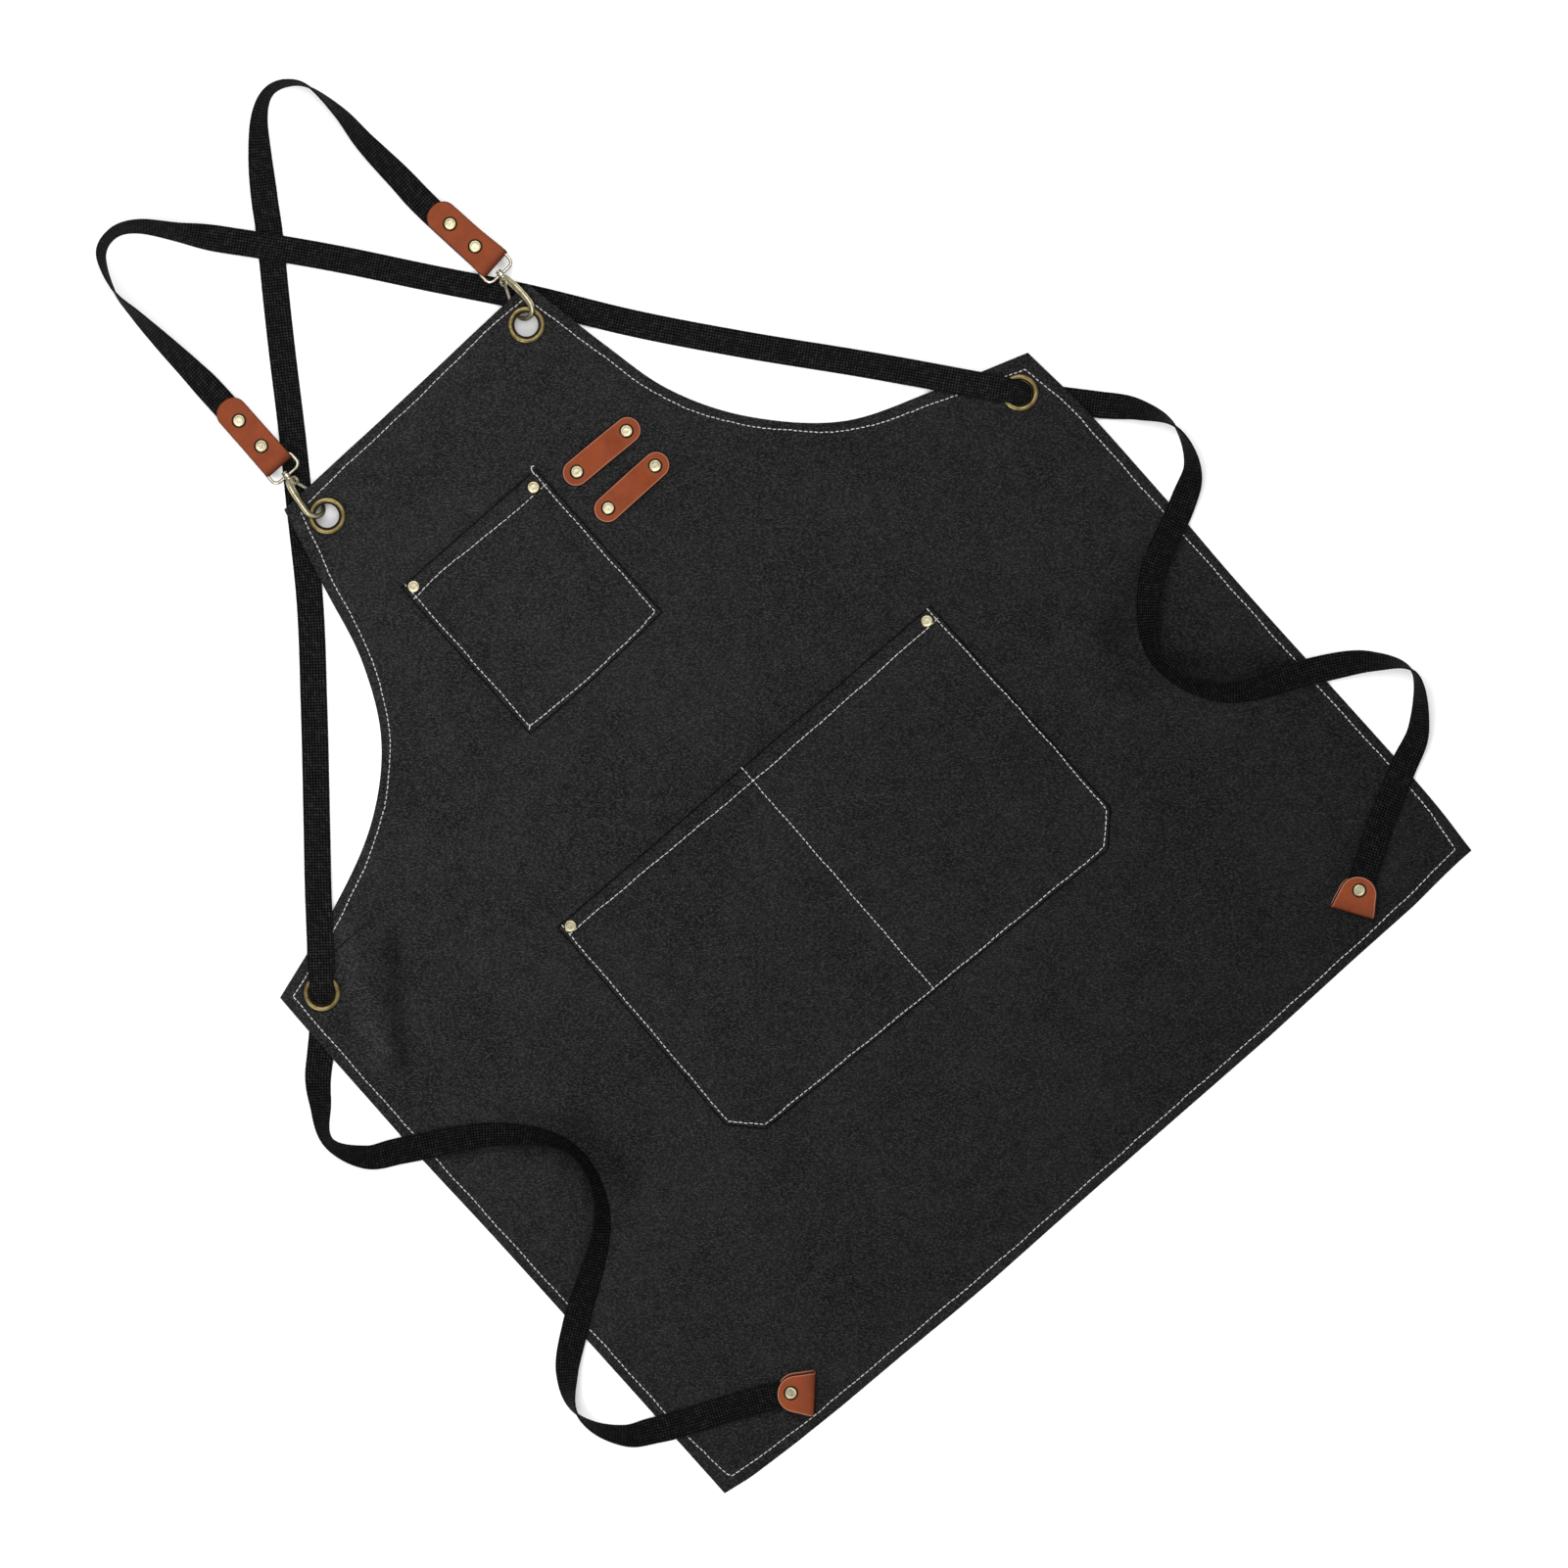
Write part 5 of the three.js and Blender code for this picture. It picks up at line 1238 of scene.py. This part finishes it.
# Leather strip: its side view is a path of (along, up). Half width = width/2 - corner +
# sqrt(corner^2 - (corner - from the end)^2), and the edges are rounded by the distance to the strip's
# outline.
def stripPart(path, strip):
    travel = travelled(path)
    total, corner, half = travel[-1], strip["corner"], strip["width"] / 2
    ends = corner * (1 - np.cos(np.linspace(0, np.pi / 2, leatherForm["endSteps"])))
    ends = np.unique(np.round(np.concatenate([ends, leatherForm["insets"]]), 7))
    steps = max(leatherForm["leastSteps"], int((total - 2 * corner) / leatherForm["spacing"]))
    inner = np.linspace(corner, total - corner, steps)[1:-1]
    spots = np.concatenate([ends, inner, (total - ends)[::-1]])
    fromEnd = np.minimum(spots, total - spots)
    reach = half - corner + np.sqrt(np.maximum(corner**2 - (corner - np.minimum(fromEnd, corner)) ** 2, 0))
    insets = np.array(leatherForm["insets"])
    squeeze = np.minimum(1, reach / (2 * insets[-1]))[:, None]
    edge = np.maximum(reach[:, None] - insets * squeeze, leatherForm["narrowest"])
    middle = edge[:, -1:] * np.array(leatherForm["middle"])
    right = np.concatenate([edge, middle], 1)
    across = np.concatenate([right, -right[:, ::-1]], 1)
    q = np.maximum(np.stack([np.abs(across) - half + corner,
                             np.broadcast_to((corner - fromEnd)[:, None], across.shape)], -1), 0)
    inside = corner - np.linalg.norm(q, axis=-1)
    inside = np.minimum(inside, np.minimum(half - np.abs(across), fromEnd[:, None]))
    inside = np.maximum(inside, 0)
    fromFold = np.abs(spots - total / 2)
    across = across * (1 + strip["flare"] / half * (1 - softStep(0, strip["flareReach"], fromFold)))[:, None]
    lower = strip["folded"] * softStep(total / 2 - strip["thick"], total / 2 + strip["thick"], spots)[:, None]
    rim = (1 - softStep(0, leatherForm["rimReach"], inside)) * (1 - lower)
    swell = leatherForm["blunt"] + (1 - leatherForm["blunt"]) * edgeSwell(inside, leatherForm["edgeRound"])
    rise = strip["thick"] / 2 * swell
    centre, way = pointsAt(path, spots), directionsAt(path, spots, leatherForm["wayReach"])
    normal = np.stack([-way[:, 1], way[:, 0]], -1)

    # painted shade: darker toward the fold, and a dark rim past the edge on one face that stands for the
    # contact shadow
    dark, reach = strip["foldDark"]
    pale = strip["edge"] * (1 - softStep(*leatherForm["edgeMark"], inside))
    pale = pale - dark * (1 - softStep(0, reach, fromFold))[:, None]
    sides, marks = [], []
    for face in (1, -1):
        paintedShadowRim = rim * (face == strip["paintedShadowRim"])
        wide = across + np.sign(across) * strip["rim"] * paintedShadowRim + strip["shift"] + strip["slip"] * lower
        flat = centre[:, None] + face * rise[..., None] * normal[:, None]
        sides.append(np.concatenate([wide[..., None], flat], -1))
        paintedShadowRim = np.maximum(paintedShadowRim, (inside < leatherForm["skin"]) * (1 - lower))
        marks.append(pale * (1 - paintedShadowRim) - paintedShadowRim)
    rings, mark = (np.concatenate([first[:, ::-1], second], 1) for first, second in (sides, marks))
    return tubePart(rings, mark.ravel())


# Side view of a folded tab: along one layer, round the fold at the near end, and back along the other.
def tabPath(tab):
    reach = tab["slack"] / 2 + tab["thick"] / 2
    bend = reach + tab["thick"] / 2 - tab["behind"]
    end = tab["length"] - tab["behind"]
    turn = np.linspace(np.pi / 2, 1.5 * np.pi, leatherForm["foldSteps"])
    fold = np.stack([bend + reach * np.cos(turn), reach * np.sin(turn)], -1)
    return np.vstack([[(end, reach)], fold, [(end, -reach)]])


# Side view of a tool loop: flat feet and an arch of height cos^2 between them.
def loopPath(reach):
    ends = reach + toolLoop["end"]
    along = np.linspace(-ends, ends, leatherForm["archSteps"])
    share = np.minimum(1, np.abs(along) / (reach - toolLoop["foot"]))
    up = toolLoop["seat"] + toolLoop["thick"] / 2 + toolLoop["arch"] * np.cos(np.pi / 2 * share) ** 2
    return np.stack([along, up], -1)


# Rivets

rivetForm = {
    "sides": 32, "tail": 0.0038, "plate": 0.0005, "shank": 0.0014, "tailMiddle": 0.0005, "tailBevel": 0.0002,
    # radius, height over the seat and darkness, from the skirt, dark as painted shade round the rivet, up
    # round the rim and in over the sunk face
    "head": [(0.0051, -0.00005, 1), (0.0052, 0.00002, 1), (0.0051, 0.0001, 1), (0.0042, 0.00012, 1),
             (0.00422, 0.0005, 0.5), (0.0041, 0.0008, 0), (0.0038, 0.00098, 0), (0.0034, 0.001, 0),
             (0.003, 0.0009, 0.1), (0.0026, 0.00084, 0.15), (0.0015, 0.00088, 0.15), (0.0004, 0.0009, 0.15)],
}


# Riveted stud: a flat tail under the work, a shank through it and a flat head with a raised rim.
def rivetPart(tailHeight, seatHeight):
    tail, plate, shank = rivetForm["tail"], rivetForm["plate"], rivetForm["shank"]
    profile = [(rivetForm["tailMiddle"], tailHeight), (tail - rivetForm["tailBevel"], tailHeight),
               (tail, tailHeight + plate / 2), (tail, tailHeight + plate), (shank, tailHeight + plate),
               (shank, seatHeight)]
    mark = [0] * len(profile) + [dark for _, _, dark in rivetForm["head"]]
    rings = profile + [(r, seatHeight + h) for r, h, _ in rivetForm["head"]]
    return turnedPart(rings, rivetForm["sides"], mark=mark)


# A rivet turned and moved into its place.
def addRivet(node, part, turn, place):
    return makePiece(f"{node}.stud", [placed(part, turn, place)], paleBrass, [node])


tabPieces = {side: [] for side in hookPlaces}


# A folded tab with its rivets, in its own frame: +Y along the tab, the fold at -Y.
def addTab(node, tab, turn, place):
    pieces = [makePiece(f"{node}.hide", [placed(stripPart(tabPath(tab), tab), turn, place)], leather,
                        [node], sharp=50)]
    outer = tab["slack"] / 2 + tab["thick"]
    for number, along in enumerate(tab["rivets"], 1):
        name = f"{node}_rivet_{number}" if len(tab["rivets"]) > 1 else f"{node}_rivet"
        spot = np.asarray(place) + turn @ np.array([0, along, 0])
        pieces.append(addRivet(name, rivetPart(-outer - rivetForm["plate"], outer), turn, spot))
    return pieces


for side, where in hookPlaces.items():
    turn = turnAbout("z", where["tabTurn"] + where["tabLean"])
    tabPieces[side] += addTab(f"strap_tab_{side}", {**strapTab, "flare": where["flare"]}, turn,
                              np.add(where["place"], where["tabShift"]))

endPieces = {side: addTab(f"end_tab_{side}", {**endTab, "shift": where["shift"], "slip": where["slip"]},
                          turnAbout("z", where["turn"]), where["place"])
             for side, where in endTabPlaces.items()}

tailSeat = 0.0001   # studs through the panel end just over the floor
for name, (x0, y0, x1, y1) in toolLoopPlaces.items():
    reach = math.hypot(x1 - x0, y1 - y0) / 2
    turn = turnAbout("z", math.degrees(math.atan2(y1 - y0, x1 - x0)) - 90)
    part = stripPart(loopPath(reach), toolLoop)
    makePiece(f"tool_loop_{name}.hide", [placed(part, turn, ((x0 + x1) / 2, (y0 + y1) / 2, 0))], leather,
              [f"tool_loop_{name}"], sharp=50)
    stud = rivetPart(tailSeat, toolLoop["seat"] + toolLoop["thick"])
    for end, x, y in (("left", x0, y0), ("right", x1, y1)):
        addRivet(f"tool_loop_{name}_rivet_{end}", stud, unturned, (x, y, 0))

pocketRivets = {"chest": ((-0.0883, 0.266), (0.022, 0.2626)), "waist": ((-0.164, 0.012), (0.1685, 0.007))}
for name, places in pocketRivets.items():
    for end, (x, y) in zip(("left", "right"), places):
        seat = float(pocketTops[name](np.array([[x, y]]))[0])
        addRivet(f"{name}_pocket_rivet_{end}", rivetPart(tailSeat, seat), unturned, (x, y, 0))
print("leather riveted")

# Grommets


# A grommet turned from both its profiles, the front's over the cloth's face and the back's at its underside.
def addGrommet(node, x, y, rise):
    front = [(r, rise + panelCut["thick"] + h) for r, h, _ in grommetForm["front"]]
    back = [(r, rise + h) for r, h, _ in grommetForm["back"]]
    mark = [dark for _, _, dark in grommetForm["front"] + grommetForm["back"]]
    part = turnedPart(front + back, grommetForm["sides"], loop=True, mark=mark)
    makePiece(f"{node}.ring", [placed(part, unturned, (x, y, 0))], antiqueBrass, [node])


for place in grommetPlaces:
    addGrommet(*place)
print("grommets set")

# Snap hooks

wireLoop = {
    "wire": 0.0012, "halfWidth": 0.0115, "length": 0.0134, "corner": 0.0046, "sides": 14, "cornerSteps": 9,
    "boss": 0.0027, "bossHalf": 0.0017, "bossSides": 20,
    # share of the boss's radius and of its half height
    "bossForm": [(0.55, -1), (0.85, -1), (1, -0.7), (1, 0.7), (0.85, 1), (0.55, 1)],
}
snapHook = {
    "pitch": -7.0, "roll": 40.0,
    # across, along, half width in the hook's plane, half width out of it
    "shank": [(0.0008, -0.0030, 0.0018, 0.0014), (0.0018, -0.0052, 0.0023, 0.0017),
              (0.0025, -0.0085, 0.0025, 0.0018), (0.0029, -0.0130, 0.0025, 0.0018),
              (0.0031, -0.0185, 0.0024, 0.0018), (0.0032, -0.0235, 0.0023, 0.0018)],
    "straight": 0.0282, "across": 0.0032, "bend": 0.008, "lowWidth": 0.0023, "tipWidth": 0.0015,
    "bendSteps": 15, "bendFlat": 0.88,      # its half width out of the plane, share of the one in it
    "tipEnd": [(0.0005, 0.9), (0.0009, 0.62), (0.0011, 0.25)],      # past the bend, share of the tip's width
    "leanFrom": (0.006, 0.0235), "power": 3.0,
    "eye": (-0.0022, -0.0055), "eyeRadius": 0.0036, "neck": (0.0018, -0.0063), "neckRadius": 0.0022,
    "cheekHalf": 0.0015, "slotHalf": 0.0009,
    "bevel": 0.00036, "pin": 0.0006, "pinRise": 0.0004, "pinDome": 0.0001, "pinTop": 0.00024,
    "hole": 0.00054, "pinRing": 0.0015, "holeHalf": 0.00006,    # the dark ring between pin and washer, painted shade of the hole round the pin
    "sides": 20, "pinSides": 16, "washerSides": 24, "postSides": 18,
    # radius and height over the cheek of the raised washer round the pin
    "washer": [(0.0036, 0.0), (0.0035, 0.0005), (0.0031, 0.0007), (0.0024, 0.00072), (0.0018, 0.0007),
               (0.0015, 0.0005), (0.0014, 0.0)],
    # radius and distance along the post, from its head inside the wire loop to the eye
    "post": [(0.0010, 0.0035), (0.0022, 0.0034), (0.0025, 0.0029), (0.0024, 0.0023), (0.0014, 0.0022),
             (0.0014, -0.0021), (0.0020, -0.0022), (0.0021, -0.0027), (0.0018, -0.0033), (0.0009, -0.0036)],
}
lever = {
    "hub": 0.0019, "hole": 0.0009, "half": 0.0007, "end": (-0.0118, -0.0262), "thin": 0.0010, "deep": 0.00105,
    "bar": (0.06, 0.97, 10),        # share of the way where it begins and where its tip does, and steps
    "tip": [(0.985, 0.9), (0.995, 0.65), (1.0, 0.3)],       # share of the way, share of the bar's width
    "slender": 0.8, "fullAt": 1.3,  # depth at the hub, share of the full one; how soon the swell is through
    "sides": 16, "hubSides": 20, "power": 4.0,
}


# Rounded rectangle of wire, moved sideways on the swivel boss that sits on its near bar.
def wireLoopParts(shift):
    corner, half = wireLoop["corner"], wireLoop["halfWidth"] - wireLoop["corner"]
    middles = np.array([(half, -corner), (-half, -corner), (-half, corner - wireLoop["length"]),
                        (half, corner - wireLoop["length"])])
    turn = np.radians(np.arange(4)[:, None] * 90 + np.linspace(0, 90, wireLoop["cornerSteps"]))
    path = middles[:, None] + corner * np.stack([np.cos(turn), np.sin(turn)], -1) + (shift, 0)
    bar = wirePart(path.reshape(-1, 2), wireLoop["wire"], wireLoop["wire"], wireLoop["sides"], loop=True)
    profile = np.array(wireLoop["bossForm"]) * (wireLoop["boss"], wireLoop["bossHalf"])
    barrel = turnedPart(profile, wireLoop["bossSides"])
    return [bar, placed(barrel, turnAbout("x", -90), (0, -wireLoop["length"], 0))]


# Outline round two circles: the arc of each that faces away from the other, with straight sides between.
def twoCircleOutline(first, firstRadius, second, secondRadius):
    gap = np.subtract(second, first)
    apart = np.linalg.norm(gap)
    facing = math.atan2(gap[1], gap[0])
    lean = math.acos((firstRadius - secondRadius) / apart)
    far = np.linspace(facing - lean, facing + lean, 12)
    near = np.linspace(facing + lean, facing + 2 * np.pi - lean, 16)
    return np.concatenate([
        np.asarray(second) + secondRadius * np.stack([np.cos(far), np.sin(far)], -1),
        np.asarray(first) + firstRadius * np.stack([np.cos(near), np.sin(near)], -1)])


# Hook in its own plane: shank and half-round bend as one tapering wire, two cheeks with a pin and a washer on
# each, and the post.
# The lean moves the wire outward, from nothing at the eye to all of it at the bend.
def snapHookParts(hand, lean, eyeShift):
    form = snapHook
    shank = np.array(form["shank"])
    turn = np.linspace(0, np.pi, form["bendSteps"])
    bend = np.stack([form["across"] - form["bend"] + form["bend"] * np.cos(turn),
                     -form["straight"] - form["bend"] * np.sin(turn)], -1)
    thin = form["lowWidth"] + (form["tipWidth"] - form["lowWidth"]) * turn / np.pi
    past, narrow = np.array(form["tipEnd"]).T
    tip = bend[-1] + past[:, None] * (0, 1)
    path = np.vstack([shank[:, :2], bend, tip])
    path[:, 0] += lean * softStep(*form["leanFrom"], -path[:, 1])
    path = path * (hand, 1)
    tipThin = form["tipWidth"] * narrow
    across = np.concatenate([shank[:, 2], thin, tipThin])
    up = np.concatenate([shank[:, 3], thin * form["bendFlat"], tipThin])
    parts = [wirePart(path, across, up, form["sides"], power=form["power"])]
    eye = np.add(form["eye"], (eyeShift, 0)) * (hand, 1)
    neck = np.array(form["neck"]) * (hand, 1)
    outline = twoCircleOutline(eye, form["eyeRadius"], neck, form["neckRadius"])
    for low, high in ((form["slotHalf"], form["cheekHalf"]), (-form["cheekHalf"], -form["slotHalf"])):
        parts.append(platePart(outline, low, high, form["bevel"]))
    top, reach = form["cheekHalf"], form["cheekHalf"] + form["pinRise"]
    end = (form["pinTop"], reach + form["pinDome"])
    pin = [(end[0], -end[1]), (form["pin"], -reach), (form["pin"], reach), end]
    parts.append(placed(turnedPart(pin, form["pinSides"]), unturned, (*eye, 0)))
    low, high = top - form["holeHalf"], top + form["holeHalf"]
    hole = [(form["hole"], low), (form["pinRing"], low), (form["pinRing"], high), (form["hole"], high)]
    washer = np.array(form["washer"]) + (0, top)
    for face in (-1, 1):
        # the ring round the pin is painted shade, the washer is not
        for profile, dark in ((hole, 1.0), (washer, 0.0)):
            turned = turnedPart(np.array(profile) * (1, face), form["washerSides"], loop=True,
                                mark=[dark] * len(profile))
            parts.append(placed(turned, unturned, (*eye, 0)))
    post = np.array(form["post"])[::-1]
    parts.append(placed(turnedPart(post, form["postSides"]), turnAbout("x", -90), (0, 0, 0)))
    return parts


# Spring lever: a hub on the pin and a flattened bar, bowed away from the shank by a sine, that closes on the
# hook's tip.
def leverParts(hand, bow):
    start = np.array(snapHook["eye"]) * (hand, 1)
    end = np.array(lever["end"]) * (hand, 1)
    straight, tip = np.linspace(*lever["bar"]), np.array(lever["tip"])
    share = np.concatenate([straight, tip[:, 0]])
    bar = start + share[:, None] * (end - start)
    bar[:, 0] -= hand * bow * np.sin(np.pi * share)
    slim = np.concatenate([np.ones(len(straight)), tip[:, 1]])
    swell = np.sin(np.pi * np.minimum(share * lever["fullAt"], 1))
    deep = lever["deep"] * (lever["slender"] + (1 - lever["slender"]) * swell)
    parts = [wirePart(bar, lever["thin"] * slim, deep * slim, lever["sides"], power=lever["power"])]
    hub = [(lever["hub"], -lever["half"]), (lever["hub"], lever["half"]), (lever["hole"], lever["half"]),
           (lever["hole"], -lever["half"])]
    parts.append(placed(turnedPart(hub, lever["hubSides"], loop=True), unturned, (*start, 0)))
    return parts


for side, where in hookPlaces.items():
    pitch, drop = turnAbout("x", snapHook["pitch"]), np.array([0, -wireLoop["length"], 0])
    swivel = np.array(where["place"]) + turnAbout("z", where["tabTurn"]) @ pitch @ drop
    loopTurn = turnAbout("z", where["loopTurn"]) @ pitch
    hookTurn = turnAbout("z", where["hookTurn"]) @ pitch @ turnAbout("y", -where["hand"] * snapHook["roll"])
    loop = placedAll(wireLoopParts(where["loopShift"]), loopTurn, swivel - loopTurn @ drop)
    hook = placedAll(snapHookParts(where["hand"], where["shankLean"], where["eyeShift"]), hookTurn, swivel)
    bar = placedAll(leverParts(where["hand"], where["leverBow"]), hookTurn, swivel)
    tabPieces[side] += [
        makePiece(f"hook_loop_{side}.wire", loop, nickel, [f"hook_loop_{side}"]),
        makePiece(f"snap_hook_{side}.cast", hook, castBrass, [f"snap_hook_{side}"]),
        makePiece(f"hook_lever_{side}.bar", bar, nickel, [f"hook_lever_{side}"],
                  body=f"lever_{side}"),
    ]
print("snap hooks fastened")
